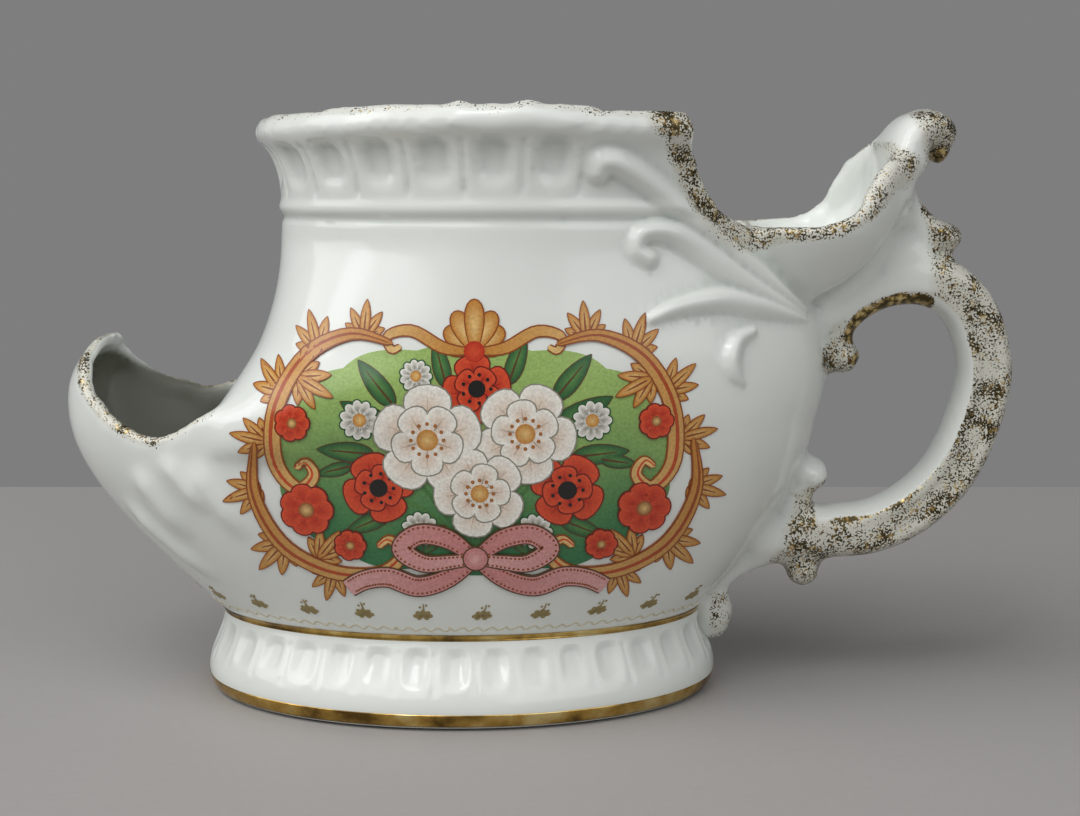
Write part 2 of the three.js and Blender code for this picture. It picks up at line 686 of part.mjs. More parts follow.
function reliefDepth(x, z) {
  const onCollar = z > NECK;
  const level = onCollar ? (z - NECK) / COLLAR_HEIGHT : (z - SEAM) / SHOULDER_HEIGHT;
  const oval = onCollar ? collarOval(level) : shoulderOval(level);
  const reach = x < oval.centre ? oval.centre + oval.spoutSide : oval.handleSide - oval.centre;
  const power = x < oval.centre ? oval.blunt : 2;
  const share = Math.min(Math.abs(x - oval.centre) / reach, 0.97);
  return oval.depth * (1 - share ** power) ** (1 / power);
}

// Points of a scroll by their shares of the way out to the handle and up to the rim
function makeScroll(name, shares, width) {
  const line = new THREE.SplineCurve(shares.map(([out, up]) => {
    const x = NECK_OFFSET + (SHOULDER.handleSide[0] - NECK_OFFSET) * out;
    return new THREE.Vector2(x, SEAM + (COLLAR_TOP - SEAM) * up);
  }));
  for (const side of [-1, 1]) {
    const lifted = new THREE.CatmullRomCurve3(line.getPoints(10).map((p) => {
      const y = side * (reliefDepth(p.x, p.y) + JOINT_GAP);
      return new THREE.Vector3(p.x, y, p.y);
    }));
    const out = (p) => {
      const along = (p.x - NECK_OFFSET) / SHOULDER.handleSide[0];
      return new THREE.Vector3(along, p.y / SHOULDER.depth[3], 0.15);
    };
    const half = (t) => width / 2 * (1.05 - 0.75 * t);
    const high = (t) => SCROLL_HEIGHT * (1 - 0.5 * t);
    const relief = sweep(lifted, 11, 6, half, high, out);
    const cut = shoulderSkin(JOINT_GAP).add(collarSkin(JOINT_GAP)).add(restSkin(JOINT_GAP));
    addPiece(`${name}_${side < 0 ? 'near' : 'far'}`, relief.subtract(cut), porcelain);
  }
}

function makeScrolls() {
  const head = [[0.226, 0.911], [0.273, 0.959], [0.386, 0.92]];
  const longLine = [...head, [0.537, 0.775], [0.725, 0.59], [0.895, 0.433]];
  const shortLine = [[0.348, 0.629], [0.412, 0.689], [0.527, 0.652], [0.65, 0.557], [0.857, 0.404]];
  const ribLine = [[0.412, 0.396], [0.556, 0.454], [0.699, 0.445], [0.857, 0.361]];
  const dropLine = [[0.669, 0.313], [0.697, 0.256], [0.719, 0.196]];
  makeScroll('long_scroll', longLine, SCROLL_WIDTH);
  makeScroll('short_scroll', shortLine, SCROLL_WIDTH * 0.88);
  makeScroll('shoulder_rib', ribLine, SCROLL_WIDTH * 0.72);
  makeScroll('shoulder_drop', dropLine, SCROLL_WIDTH * 0.88);
}

makeFoot();
makeReservoir();
makeSpout();
makeShoulder();
makeCollar();
makeRim();
makeTray();
makeRest();
makeHorn();
makeHandle();
makeThumb();
makeUpperCurl();
makeLowerCurl();
makeLowerKnob();
makeTail();
makeScrolls();

// The whole part stands with the middle of its length over the origin
const extent = new THREE.Box3().setFromObject(assembly);
assembly.position.x = -(extent.min.x + extent.max.x) / 2;
const scuttle = new THREE.Group();
scuttle.add(assembly);

export default scuttle;
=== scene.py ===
"""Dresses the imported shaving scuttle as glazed, printed and gilded porcelain."""

import math
from collections import namedtuple
from functools import partial

import bmesh
import bpy
from bpy.props import FloatProperty, FloatVectorProperty, IntProperty, PointerProperty
from bpy.types import Operator, Panel, PropertyGroup
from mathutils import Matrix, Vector
from mathutils.bvhtree import BVHTree


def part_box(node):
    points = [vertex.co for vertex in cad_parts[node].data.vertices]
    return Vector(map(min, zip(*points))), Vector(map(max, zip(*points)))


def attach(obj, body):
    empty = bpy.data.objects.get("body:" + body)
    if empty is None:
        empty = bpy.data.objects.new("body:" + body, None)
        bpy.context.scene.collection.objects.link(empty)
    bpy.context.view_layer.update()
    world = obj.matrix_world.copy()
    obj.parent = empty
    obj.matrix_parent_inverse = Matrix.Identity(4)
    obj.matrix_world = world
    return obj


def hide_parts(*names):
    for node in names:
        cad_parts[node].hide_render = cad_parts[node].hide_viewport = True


bl_info = {
    "name": "Shaving scuttle",
    "version": (1, 0, 0),
    "blender": (4, 5, 0),
    "location": "View3D > Sidebar > Scuttle",
    "description": "Casts, glazes, prints and gilds the shaving scuttle over its solids",
    "category": "Object",
}

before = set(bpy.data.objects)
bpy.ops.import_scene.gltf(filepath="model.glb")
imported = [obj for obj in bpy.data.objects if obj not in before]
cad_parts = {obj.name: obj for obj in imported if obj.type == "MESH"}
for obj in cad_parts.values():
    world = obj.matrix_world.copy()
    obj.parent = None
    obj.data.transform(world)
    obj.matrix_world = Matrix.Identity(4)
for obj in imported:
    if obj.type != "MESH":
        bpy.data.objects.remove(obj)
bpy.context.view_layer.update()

# Shapes are worked out in millimetres, with X measured from the middle of the foot
MM = 0.001
TURN = 2 * math.pi
WELD = 0.002


def node_box(name):
    """Lowest and highest corner of a solid, in millimetres."""
    return [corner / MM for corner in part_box(name)]


FOOT_LOW, FOOT_HIGH = node_box("foot_ring")
FOOT_X = (FOOT_LOW.x + FOOT_HIGH.x) / 2
WAIST = FOOT_HIGH.z + 1.1
SEAM = node_box("reservoir")[1].z
NECK = node_box("shoulder")[1].z
REST_END = node_box("brush_rest")[1].x - FOOT_X

# Half sizes in plan from bottom to top, as four shaping levels of spout side, handle side and depth
FOOT = ((44.6, 48.6, 43.2, 43.1), (44.6, 48.6, 43.2, 43.1), (28.6, 32.8, 25.5, 24))
BELLY = ((43.1, 54.7, 68.0, 69.3), (43.1, 52.5, 62.4, 63.6), (24, 31, 33.2, 33))
SHOULDER = ((43, 34.6, 31.2, 31.4), (63.6, 67.8, 62.5, 56), (33, 33.2, 29.5, 28.2))
COLLAR = ((31.4, 31, 30.6, 34.9), (56, 54.5, 53.5, 57), (28.2, 27.8, 27.4, 31.2))
NECK_X = 10.5
NECK_OVERLAP = 2.5
NECK_TUCK = 0.6
COLLAR_HEIGHT = 17.5
RIM_TOP = NECK + COLLAR_HEIGHT + 4
RIM_SWELL = 2
RIM_BULGE = 1.1
RIM_HEIGHT = 4.2
RIM_DROOP = 0.9
BELLY_WALL = 3.4
SHOULDER_WALL = 4.4
COLLAR_WALL = 3.0
FLOOR = FOOT_HIGH.z + 4

# Lip of the spout
SPOUT_TIP = -69.3
SPOUT_DIP = -50.5
LIP_RISE = 14.4
LIP_END_RISE = 5.7
LIP_END = -37.5
LIP_SINK = 11
LIP_LEAN = 6.9
LIP_SWELL = 0.3
LIP_WALL = 2.4
LIP_FAR_RISE = 2.6
LIP_TOP = SEAM + LIP_RISE + LIP_FAR_RISE

# Dip in the rim and the brush rest beyond it
REST_LONG = 17.5
REST_DEPTH = 20.5
REST_WALL = 3.0
REST_X = REST_END - REST_LONG
REST_BOTTOM = NECK - 13
REST_TOP = REST_BOTTOM + 27.4
DIP_START = REST_END - 39.7
DIP_X = REST_END - 21.5
DIP_LOW = NECK + 3.0
DIP_CORNER = RIM_TOP - 0.5
DIP_FALL = 3.4
SADDLE = 1.6
REST_RUN = 16
REST_RUN_FAR = 2.2
REST_RISE = 11.5

# Lowest place of the handle's middle line at the wall, how far it goes out and up, and its half section
HANDLE_X = 63.3
HANDLE_Z = 28.2
HANDLE_REACH = 30.4
HANDLE_HEIGHT = 45.3
HANDLE_HALF = (4.7, 5.8)

# The body keeps just under the 200000 triangles that one piece may have
BODY_TRIANGLES = 194000

# Half sizes from the foot's middle, the centre that angles turn about, and how square the spout's half is
Oval = namedtuple("Oval", "spout handle depth centre blunt")

# Fairing passes: two that shrink a skin and one that swells it back, or one that only softens it
EVEN = (0.5, 0.5, -0.52)
SOFT = (0.5,)
# Hollow folds sharper than this, in radians, are filled as glaze fills them
CREASE_ANGLE = 0.3


# Sums


def linear(code):
    """An sRGB hex colour as linear RGBA."""
    parts = [int(code[i : i + 2], 16) / 255 for i in (0, 2, 4)]
    flat = [p / 12.92 if p <= 0.04045 else ((p + 0.055) / 1.055) ** 2.4 for p in parts]
    return (*flat, 1.0)


def smooth(value, start, end):
    """0 before start, 1 after end, eased between."""
    s = min(max((value - start) / (end - start), 0), 1)
    return s * s * (3 - 2 * s)


def power(value, exponent):
    return math.copysign(abs(value) ** exponent, value)


def bezier(stops, s):
    a, b, c, d = stops
    r = 1 - s
    return a * r**3 + 3 * b * r * r * s + 3 * c * r * s * s + d * s**3


def spline(points, t):
    """The point at t on a smooth line through points of any number of values."""
    spans = len(points) - 1
    i = min(int(t * spans), spans - 1)
    s = t * spans - i
    rows = (points[max(i - 1, 0)], points[i], points[i + 1], points[min(i + 2, spans)])
    return [
        0.5 * (2 * b + (c - a) * s + (2 * a - 5 * b + 4 * c - d) * s * s + (3 * b - a - 3 * c + d) * s**3)
        for a, b, c, d in zip(*rows)
    ]


def near_line(line, x, z):
    return min(math.hypot(x - px, z - pz) for px, pz in line)


def along_line(ax, az, bx, bz, x, z):
    """Share of the way from a to b at which a point lies beside the line."""
    return ((x - ax) * (bx - ax) + (z - az) * (bz - az)) / ((bx - ax) ** 2 + (bz - az) ** 2)


def run_through(points, steps):
    """Even steps along the smooth line through points."""
    return [spline(points, i / steps) for i in range(steps + 1)]


def heading(points, t, step):
    """How x and z change along the line round t."""
    ahead, behind = spline(points, min(t + step, 1)), spline(points, max(t - step, 0))
    return ahead[0] - behind[0], ahead[1] - behind[1]


def out_from(spot, angle, reach):
    """The place at a reach from the spot, in the direction of the angle."""
    return spot[0] + reach * math.cos(angle), spot[1] + reach * math.sin(angle)


# Oval sections


def oval_at(section, s, centre, blunt):
    return Oval(*(bezier(stops, s) for stops in section), centre, blunt)


def foot_oval(s):
    return oval_at(FOOT, s, 0, 2)


def belly_oval(s):
    return oval_at(BELLY, s, NECK_X * s, 2 + 0.5 * s)


def collar_oval(s):
    return oval_at(COLLAR, s, NECK_X, 2)


def neck_oval(z, lift):
    """Section of shoulder or collar, where lift raises the collar at the long sides."""
    if z < NECK:
        s = max(z - SEAM, 0) / (NECK - SEAM)
        return oval_at(SHOULDER, s, NECK_X, 4 - 2 * s + 5 * (1 - smooth(z, SEAM, SEAM + 14)))
    return collar_oval(min((z - NECK) / (COLLAR_HEIGHT + lift), 1))


def half_oval(oval, spout):
    """Reach from the centre and squareness, on the spout's half or on the handle's."""
    if spout:
        return oval.centre + oval.spout, oval.blunt
    return oval.handle - oval.centre, 2


def oval_point(oval, angle, z, grow=0.0):
    cos, sin = math.cos(angle), math.sin(angle)
    reach, blunt = half_oval(oval, cos < 0)
    x = oval.centre + (reach + grow) * power(cos, 2 / blunt)
    return Vector((x, (oval.depth + grow) * power(sin, 2 / blunt), z))


def oval_angle(oval, x, y):
    """Angle of a point round an elliptical section, the same on the near and the far side."""
    reach, _ = half_oval(oval, x < oval.centre)
    return math.atan2(abs(y) / oval.depth, (x - oval.centre) / reach)


ARC_STEPS = 400


def arc_lengths(oval, angles):
    """Length gone along an oval at each of the angles."""
    samples = [oval_point(oval, angle, 0) for angle in angles]
    lengths = [0.0]
    for a, b in zip(samples, samples[1:]):
        lengths.append(lengths[-1] + (b - a).length)
    return lengths


def off_flute(run, pitch):
    """Distance from the middle of the nearest flute."""
    return run - pitch * (round(run / pitch - 0.5) + 0.5)


# Meshes


def skin(columns, rows, place):
    """A grid wrapped onto place(u, v), with u round the section and v along the form."""
    bm = bmesh.new()
    bmesh.ops.create_grid(bm, x_segments=columns, y_segments=rows, size=0.5)
    for vert in bm.verts:
        vert.co = place(vert.co.x + 0.5, vert.co.y + 0.5)
    bmesh.ops.remove_doubles(bm, verts=bm.verts, dist=WELD)
    bmesh.ops.recalc_face_normals(bm, faces=bm.faces)
    return bm


def loft(columns, rings):
    """A skin through rings, each a function of the angle."""
    last = len(rings) - 1
    return skin(columns, last, lambda u, v: rings[round(v * last)](TURN * u))


def pole(x, z):
    """A ring drawn to one point of the middle plane."""
    return lambda angle: Vector((x, 0, z))


def sweep(points, columns, rows):
    """A strap along points of x, z, half thickness and half width, with rounded corners and closed ends."""
    corner = 0.7

    def place(u, v):
        x, z, thick, wide = spline(points, v)
        if not 0 < round(v, 6) < 1:
            return Vector((x, 0, z))
        dx, dz = heading(points, v, 0.01)
        along = Vector((dx, 0, dz)).normalized()
        out = Vector((-along.z, 0, along.x)) * thick * power(math.cos(TURN * u), corner)
        return Vector((x, wide * power(math.sin(TURN * u), corner), z)) + out

    return skin(columns, rows, place)


def ball(centre, radii):
    bm = bmesh.new()
    bmesh.ops.create_uvsphere(bm, u_segments=32, v_segments=20, radius=1)
    bmesh.ops.scale(bm, vec=radii, verts=bm.verts)
    bmesh.ops.translate(bm, vec=centre, verts=bm.verts)
    return bm


def to_mesh(name, bm):
    """A mesh made from a bmesh, which is freed."""
    mesh = bpy.data.meshes.new(name)
    bm.to_mesh(mesh)
    bm.free()
    return mesh


def show(name, data):
    """An object at the origin that holds the data, linked to the scene."""
    made = bpy.data.objects.new(name, data)
    bpy.context.scene.collection.objects.link(made)
    return made


def discard(helper):
    mesh = helper.data
    bpy.data.objects.remove(helper)
    bpy.data.meshes.remove(mesh)


def settle(helper):
    """What the helper's modifiers make of its mesh; the helper is discarded."""
    made = bmesh.new()
    made.from_object(helper, bpy.context.evaluated_depsgraph_get())
    discard(helper)
    return made


def gather(parts):
    """All the parts in one bmesh."""
    total = bmesh.new()
    for part in parts:
        mesh = to_mesh("part", part)
        total.from_mesh(mesh)
        bpy.data.meshes.remove(mesh)
    return total


def fuse(bm, pitch):
    """One closed skin round all the shells, as slip and glaze close the joints."""
    helper = show("fused", to_mesh("fused", bm))
    remesh = helper.modifiers.new("fuse", "REMESH")
    remesh.mode = "VOXEL"
    remesh.voxel_size = pitch
    return settle(helper)


def fair(bm, verts, factors):
    for factor in factors:
        bmesh.ops.smooth_vert(
            bm, verts=verts, factor=factor, use_axis_x=True, use_axis_y=True, use_axis_z=True
        )


def refine(bm, wanted):
    """Halves the faces whose middle and normal are wanted, and fairs them."""

    def chosen():
        return [f for f in bm.faces if wanted(f.calc_center_median(), f.normal)]

    bm.normal_update()
    edges = list({edge for face in chosen() for edge in face.edges})
    bmesh.ops.subdivide_edges(bm, edges=edges, cuts=1, use_grid_fill=True)
    fair(bm, list({v for face in chosen() for v in face.verts}), SOFT * 2)


def finish_piece(name, bm, material, nodes=()):
    """Turns millimetres over the foot into metres in the frame, and hands the piece to the frame."""
    bmesh.ops.translate(bm, vec=(FOOT_X, 0, 0), verts=bm.verts)
    bmesh.ops.scale(bm, vec=(MM, MM, MM), verts=bm.verts)
    mesh = to_mesh(name, bm)
    mesh.shade_smooth()
    mesh.materials.append(material)
    piece = show(name, mesh)
    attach(piece, "root")
    if nodes:
        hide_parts(*nodes)
    return piece


def thin(piece, most):
    """Collapses the flattest places of a piece until no more triangles than this are left."""
    piece.data.calc_loop_triangles()
    collapse = piece.modifiers.new("thin", "DECIMATE")
    collapse.ratio = most / len(piece.data.loop_triangles)


# Materials


def node(tree, kind, inputs=None, stops=(), **settings):
    """Adds a node with its settings and the stops of its ramp.

    An input is a value, an output, or a node that feeds it from its first output.
    """
    made = tree.nodes.new(kind)
    for name, value in settings.items():
        setattr(made, name, value)
    for socket, value in (inputs or {}).items():
        if isinstance(value, bpy.types.Node):
            value = value.outputs[0]
        if isinstance(value, bpy.types.NodeSocket):
            tree.links.new(value, made.inputs[socket])
        else:
            made.inputs[socket].default_value = value
    if stops:
        elements = made.color_ramp.elements
        while len(elements) < len(stops):
            elements.new(1)
        for element, (position, colour) in zip(elements, stops):
            element.position = position
            element.color = colour
    return made


def empty_tree(holder):
    """Clears the nodes of a material or world, and returns what adds new ones."""
    holder.use_nodes = True
    holder.node_tree.nodes.clear()
    return partial(node, holder.node_tree)


def glazed_porcelain(colours):
    """Hard-paste porcelain dipped in clear glaze and fired: white and glossy, greyer where the glaze pools.

    The gilding is liquid bright gold dabbed on with a sponge, so it lies in specks and small patches.
    """
    material = bpy.data.materials.new("glazed_porcelain")
    add = empty_tree(material)
    place = add("ShaderNodeTexCoord").outputs["Object"]
    # The third attribute carries painted shade, which darkens the glaze inside the belly and the spout
    gilt, pool, inside_shade = (
        add("ShaderNodeAttribute", attribute_name=name).outputs["Fac"] for name in ("gilt", "pool", "inside_shade")
    )
    # Sponge marks of about 0.35 mm, gathered in patches of about 4 mm
    speck = add("ShaderNodeTexNoise", {"Vector": place, "Scale": 2900.0, "Detail": 1.0, "Roughness": 0.5})
    patch = add("ShaderNodeTexNoise", {"Vector": place, "Scale": 260.0, "Detail": 2.0})
    spread = add("ShaderNodeMath", {0: patch, 1: 0.7, 2: speck}, operation="MULTIPLY_ADD")
    edge = add("ShaderNodeMath", {0: gilt, 1: -0.52, 2: 1.38}, operation="MULTIPLY_ADD")
    upper = add("ShaderNodeMath", {0: edge, 1: 0.05}, operation="ADD")
    gold = add(
        "ShaderNodeMapRange",
        {"Value": spread, "From Min": edge, "From Max": upper},
        interpolation_type="SMOOTHSTEP",
    )
    # Tones of about 1 mm in the gold, brighter where it is laid on full. The dark tones are partly worn gold
    # and partly painted reflection of dark surroundings, and the bright tones are partly painted glints.
    tone = add("ShaderNodeTexNoise", {"Vector": place, "Scale": 900.0, "Detail": 2.0})
    full = add("ShaderNodeMapRange", {"Value": gilt, "From Min": 1.0, "From Max": 1.6, "To Max": 0.09})
    bright = add("ShaderNodeMath", {0: tone, 1: full}, operation="ADD")
    gilding = add(
        "ShaderNodeValToRGB",
        {"Fac": bright},
        ((0.5, colours.gold_dark), (0.6, colours.gold_mid), (0.72, colours.gold_light)),
    )
    # Clouds of about 20 mm where the glaze lies thicker
    cloud = add("ShaderNodeTexNoise", {"Vector": place, "Scale": 45.0, "Detail": 3.0})
    drift = add("ShaderNodeMapRange", {"Value": cloud, "From Min": 0.35, "From Max": 0.75, "To Max": 0.22})
    depth = add("ShaderNodeMath", {0: pool, 1: drift}, operation="ADD", use_clamp=True)
    film = add("ShaderNodeMapRange", {"Value": gilt, "From Min": 0.6, "From Max": 1.0, "To Max": 0.45})
    surface = tuple(colours.glaze)
    for factor, over in (
        (depth, tuple(colours.glaze_pool)),
        # Painted shade inside the belly and the spout
        (inside_shade, tuple(colours.inside_shade)),
        (film, tuple(colours.gold_wash)),
        (gold, gilding),
    ):
        mix = add("ShaderNodeMix", {"Factor": factor, 6: surface, 7: over}, data_type="RGBA")
        surface = mix.outputs[2]
    metal = add("ShaderNodeMath", {0: gold, 1: 0.75}, operation="MULTIPLY")
    rough = add("ShaderNodeMapRange", {"Value": gold, "To Min": 0.13, "To Max": 0.36})
    # The glaze settles in waves about 12 mm long and a few hundredths of a millimetre high
    wave = add("ShaderNodeTexNoise", {"Vector": place, "Scale": 80.0, "Detail": 1.0})
    ripple = add("ShaderNodeBump", {"Height": wave, "Strength": 0.25, "Distance": 0.0006})
    shader = add(
        "ShaderNodeBsdfPrincipled",
        {"Base Color": surface, "Metallic": metal, "Roughness": rough, "Normal": ripple, "IOR": 1.52},
    )
    add("ShaderNodeOutputMaterial", {"Surface": shader})
    return material


def burnished_gold(colours):
    """Liquid gold painted in bands and fired: a bright thin film, rubbed brown by hands and tables. Its brown
    and bright tones are partly that wear and partly painted dark reflection and painted glints.
    """
    material = bpy.data.materials.new("burnished_gold")
    add = empty_tree(material)
    place = add("ShaderNodeTexCoord").outputs["Object"]
    # Brush drag and wear in marks of about 8 mm. The dark and bright marks are also painted reflection and
    # painted glints.
    wear_and_glint = add("ShaderNodeTexNoise", {"Vector": place, "Scale": 120.0, "Detail": 4.0, "Roughness": 0.6})
    tone = add(
        "ShaderNodeValToRGB",
        {"Fac": wear_and_glint},
        ((0.36, colours.gold_worn), (0.52, colours.gold_band), (0.66, colours.gold_light)),
    )
    rough = add("ShaderNodeMapRange", {"Value": wear_and_glint, "To Min": 0.26, "To Max": 0.08})
    shader = add("ShaderNodeBsdfPrincipled", {"Base Color": tone, "Metallic": 0.92, "Roughness": rough})
    add("ShaderNodeOutputMaterial", {"Surface": shader})
    return material


def printed_enamel():
    """Overglaze enamels of a litho transfer, fired on: flat colours in fine stipple, duller than glaze."""
    material = bpy.data.materials.new("printed_enamel")
    add = empty_tree(material)
    place = add("ShaderNodeTexCoord").outputs["Object"]
    enamel = add("ShaderNodeAttribute", attribute_name="enamel").outputs["Color"]
    # Stipple dots of about 0.4 mm
    dots = add("ShaderNodeTexNoise", {"Vector": place, "Scale": 2300.0, "Detail": 1.0})
    shade = add(
        "ShaderNodeMapRange",
        {"Value": dots, "From Min": 0.3, "From Max": 0.7, "To Min": 0.86, "To Max": 1.1},
    )
    tint = add("ShaderNodeHueSaturation", {"Color": enamel, "Value": shade})
    shader = add("ShaderNodeBsdfPrincipled", {"Base Color": tint, "Roughness": 0.24, "IOR": 1.5})
    add("ShaderNodeOutputMaterial", {"Surface": shader})
    return material


def kept(maker, *colours):
    """The material of that name, made once."""
    return bpy.data.materials.get(maker.__name__) or maker(*colours)


# Forms of the vessel


def lip_level(x, y):
    """Edge of the spout by distance from its tip; behind it the edge sinks into the shoulder."""
    far = LIP_FAR_RISE * smooth(y, -2, 26) * (1 - smooth(x, -56, -36))
    if x < SPOUT_DIP:
        return SEAM + far + LIP_RISE * ((SPOUT_DIP - x) / (SPOUT_DIP - SPOUT_TIP)) ** 2
    rise = smooth(x, SPOUT_DIP, LIP_END) * (1 - smooth(x, LIP_END, LIP_END + LIP_SINK))
    return SEAM + far + LIP_END_RISE * rise


def lip_lean(z):
    """How far the spout leans back above the seam."""
    t = max(z - SEAM, 0) / LIP_RISE
    return LIP_LEAN * t**3 - t * (1 - t)


def below_lip(x, y, z):
    """How far a point on the wall of the spout lies under its edge."""
    upright = x + lip_lean(z) * min(x / (NECK_X - SPOUT_TIP), 0)
    return lip_level(upright, y) - z


def belly_point(angle, z, grow):
    """A point of belly or spout, where the spout leans back above the seam."""
    if z < SEAM:
        return oval_point(belly_oval((z - WAIST) / (SEAM - WAIST)), angle, z, grow)
    oval = belly_oval(1)
    return oval_point(oval._replace(spout=oval.spout - lip_lean(z)), angle, z, grow)


def belly_form():
    """Belly and spout in one, from the middle of the underside over the lip to the middle of the floor."""
    outside, roll, inside = 40, 10, 30

    def thick(angle, share):
        """Wall of the belly, thinner towards the lip of the spout."""
        spout = 1 - smooth(oval_point(belly_oval(1), angle, 0).x, -42, -34)
        return BELLY_WALL - (BELLY_WALL - LIP_WALL) * spout * smooth(share, 0.5, 1)

    def lip(angle):
        """Level where the wall starts to roll over, and how high it rolls."""
        x, y, _ = oval_point(belly_oval(1), angle, 0)
        rolled = (thick(angle, 1) / 2 + LIP_SWELL) * (1 - smooth(x, LIP_END, LIP_END + LIP_SINK))
        return lip_level(x, y) - rolled, rolled

    def wall(angle, share, low, inset):
        return belly_point(angle, low + (lip(angle)[0] - low) * share, -inset * thick(angle, share))

    def over(angle, bend):
        level, rolled = lip(angle)
        half = thick(angle, 1) / 2
        swell = LIP_SWELL * rolled / (half + LIP_SWELL)
        point = belly_point(angle, level, (half + swell) * math.cos(bend) - half)
        point.z += rolled * math.sin(bend)
        return point

    rings = [pole(0, WAIST)]
    rings += [partial(wall, share=i / outside, low=WAIST, inset=0) for i in range(outside)]
    rings += [partial(over, bend=math.pi * i / roll) for i in range(roll + 1)]
    rings += [partial(wall, share=i / inside, low=FLOOR, inset=1) for i in reversed(range(inside))]
    rings.append(pole(0, FLOOR))
    return loft(200, rings)


def neck_wall(z):
    return COLLAR_WALL + (SHOULDER_WALL - COLLAR_WALL) * (1 - smooth(z, NECK - 1.5, NECK + 1))


def dip_level(x, y=-1.0):
    """Edge of neck and rest along the dip for the brush; it rises a little sooner on the far side."""
    if x < DIP_X:
        run = min(max((DIP_X - x) / (DIP_X - DIP_START), 0), 1)
        return DIP_LOW + (DIP_CORNER - DIP_LOW) * run**DIP_FALL
    run = min((x - DIP_X) / (REST_RUN - REST_RUN_FAR * smooth(y, 0, 8)), 1)
    return DIP_LOW + REST_RISE * (1 - math.sqrt(1 - run * run))


def saddle(y):
    """How far the edge between tray and rest is worn down in the middle."""
    return SADDLE * (1 - smooth(abs(y), 6, 13))


def rim_level(angle, wave):
    """Top of the rim, raised at the long sides and cut down by the dip."""
    x, y, _ = oval_point(collar_oval(1), angle, 0)
    sway = wave * math.sin(0.55 * x + 1.2) * math.sin(angle) ** 2
    whole = RIM_TOP + RIM_SWELL * math.sin(angle) ** 2 + sway - RIM_DROOP * smooth(x, 17, 24)
    if x < DIP_START:
        return whole
    return min(whole, dip_level(x) - saddle(y) * smooth(x, DIP_START, DIP_X))


def neck_point(angle, z, grow):
    lift = RIM_SWELL * math.sin(angle) ** 2
    return oval_point(neck_oval(z, lift), angle, z, grow - (NECK_TUCK if z < SEAM else 0))


def neck_form(sizes):
    """Shoulder, collar and rolled rim as one wall."""
    outside, roll, inside = 70, 9, 50
    low = SEAM - NECK_OVERLAP
    half = COLLAR_WALL / 2
    wave = sizes.rim_wave / MM

    def level(angle, share):
        return low + (rim_level(angle, wave) - half - low) * share

    def outer(angle, share):
        z = level(angle, share)
        below = (level(angle, 1) - z) / RIM_HEIGHT
        swell = RIM_BULGE * math.sin(math.pi * min(below, 1)) if below < 1 else 0
        return neck_point(angle, z, swell)

    def inner(angle, share):
        z = level(angle, share)
        return neck_point(angle, z, -neck_wall(z))

    def over(angle, bend):
        point = neck_point(angle, level(angle, 1), half * (math.cos(bend) - 1))
        point.z += half * math.sin(bend)
        return point

    rings = [partial(outer, share=i / outside) for i in range(outside + 1)]
    rings += [partial(over, bend=math.pi * i / roll) for i in range(1, roll)]
    rings += [partial(inner, share=i / inside) for i in reversed(range(inside + 1))]
    rings.append(rings[0])
    return loft(360, rings)


def rest_form():
    """Shell-shaped cup of the brush rest, with its back sunk in the wall of the neck."""
    outside, roll, inside = 40, 9, 16
    half = REST_WALL / 2
    floor = REST_BOTTOM + 10.5
    edge_depth = 20
    sunk = 1.8

    def edge(angle):
        x, y = REST_X + REST_LONG * math.cos(angle), edge_depth * math.sin(angle)
        return dip_level(max(x, DIP_X), y) - saddle(y) * smooth(-math.cos(angle), 0, 0.4) - half

    def point(angle, z, inset):
        t = min(max((z - REST_BOTTOM) / (REST_TOP - REST_BOTTOM), 0), 1)
        share = 1 - 0.9 * (1 - t) ** 3
        x = REST_X + (REST_LONG * share - inset) * math.cos(angle)
        y = (REST_DEPTH * share - inset) * math.sin(angle)
        oval = neck_oval(z, 0)
        back = NECK_X + (oval.handle - NECK_X) * math.sqrt(max(1 - (y / oval.depth) ** 2, 0))
        return Vector((max(x, back - sunk), y, z))

    def side(angle, low, share, inset):
        return point(angle, low + (edge(angle) - low) * share, inset)

    def over(angle, bend):
        rolled = Vector((0, 0, half * math.sin(bend)))
        return point(angle, edge(angle), half * (1 - math.cos(bend))) + rolled

    rings = [pole(REST_X, REST_BOTTOM)]
    rings += [partial(side, low=REST_BOTTOM, share=i / outside, inset=0) for i in range(outside + 1)]
    rings += [partial(over, bend=math.pi * i / roll) for i in range(1, roll)]
    rings += [
        partial(side, low=floor, share=(i / inside) ** 2, inset=REST_WALL) for i in range(inside, 0, -1)
    ]
    rings.append(pole(REST_X, floor))
    return loft(120, rings)


def crest_form():
    """Crest at the end of the rest: a tongue that curls out over the handle and narrows to its tip."""
    points = (
        (76.4, 84.0, 2.6, 10.0), (76.2, 90.0, 2.8, 11.6), (76.6, 95.4, 3.0, 11.4), (78.8, 99.2, 3.2, 10.0),
        (82.0, 100.6, 3.1, 8.4), (84.6, 99.4, 2.6, 6.8), (86.2, 97.2, 1.6, 5.0),
    )
    # Lobes where the edge of the rest ends beside the crest
    lobe = (
        (69.6, 15.2, 88.6, 1.6), (72.2, 13.6, 91.8, 1.8), (74.6, 11.8, 93.2, 2.1), (77.0, 9.4, 93.8, 2.4),
        (79.4, 6.4, 94.6, 2.6),
    )
    far_lobe = (
        (68.4, -15.2, 88.2, 1.6), (70.9, -13.6, 91.9, 1.8), (73.2, -11.6, 94.6, 2.1), (75.4, -9.2, 96.2, 2.4),
        (77.7, -6.4, 97.2, 2.6),
    )
    beads = [
        ball((x, -y, z), (radius, radius, radius))
        for line in (lobe, far_lobe)
        for x, y, z, radius in run_through(line, 24)
    ]
    return [sweep(points, 60, 60), knob(CREST_ROLL, 1.9, 4.6), *beads]


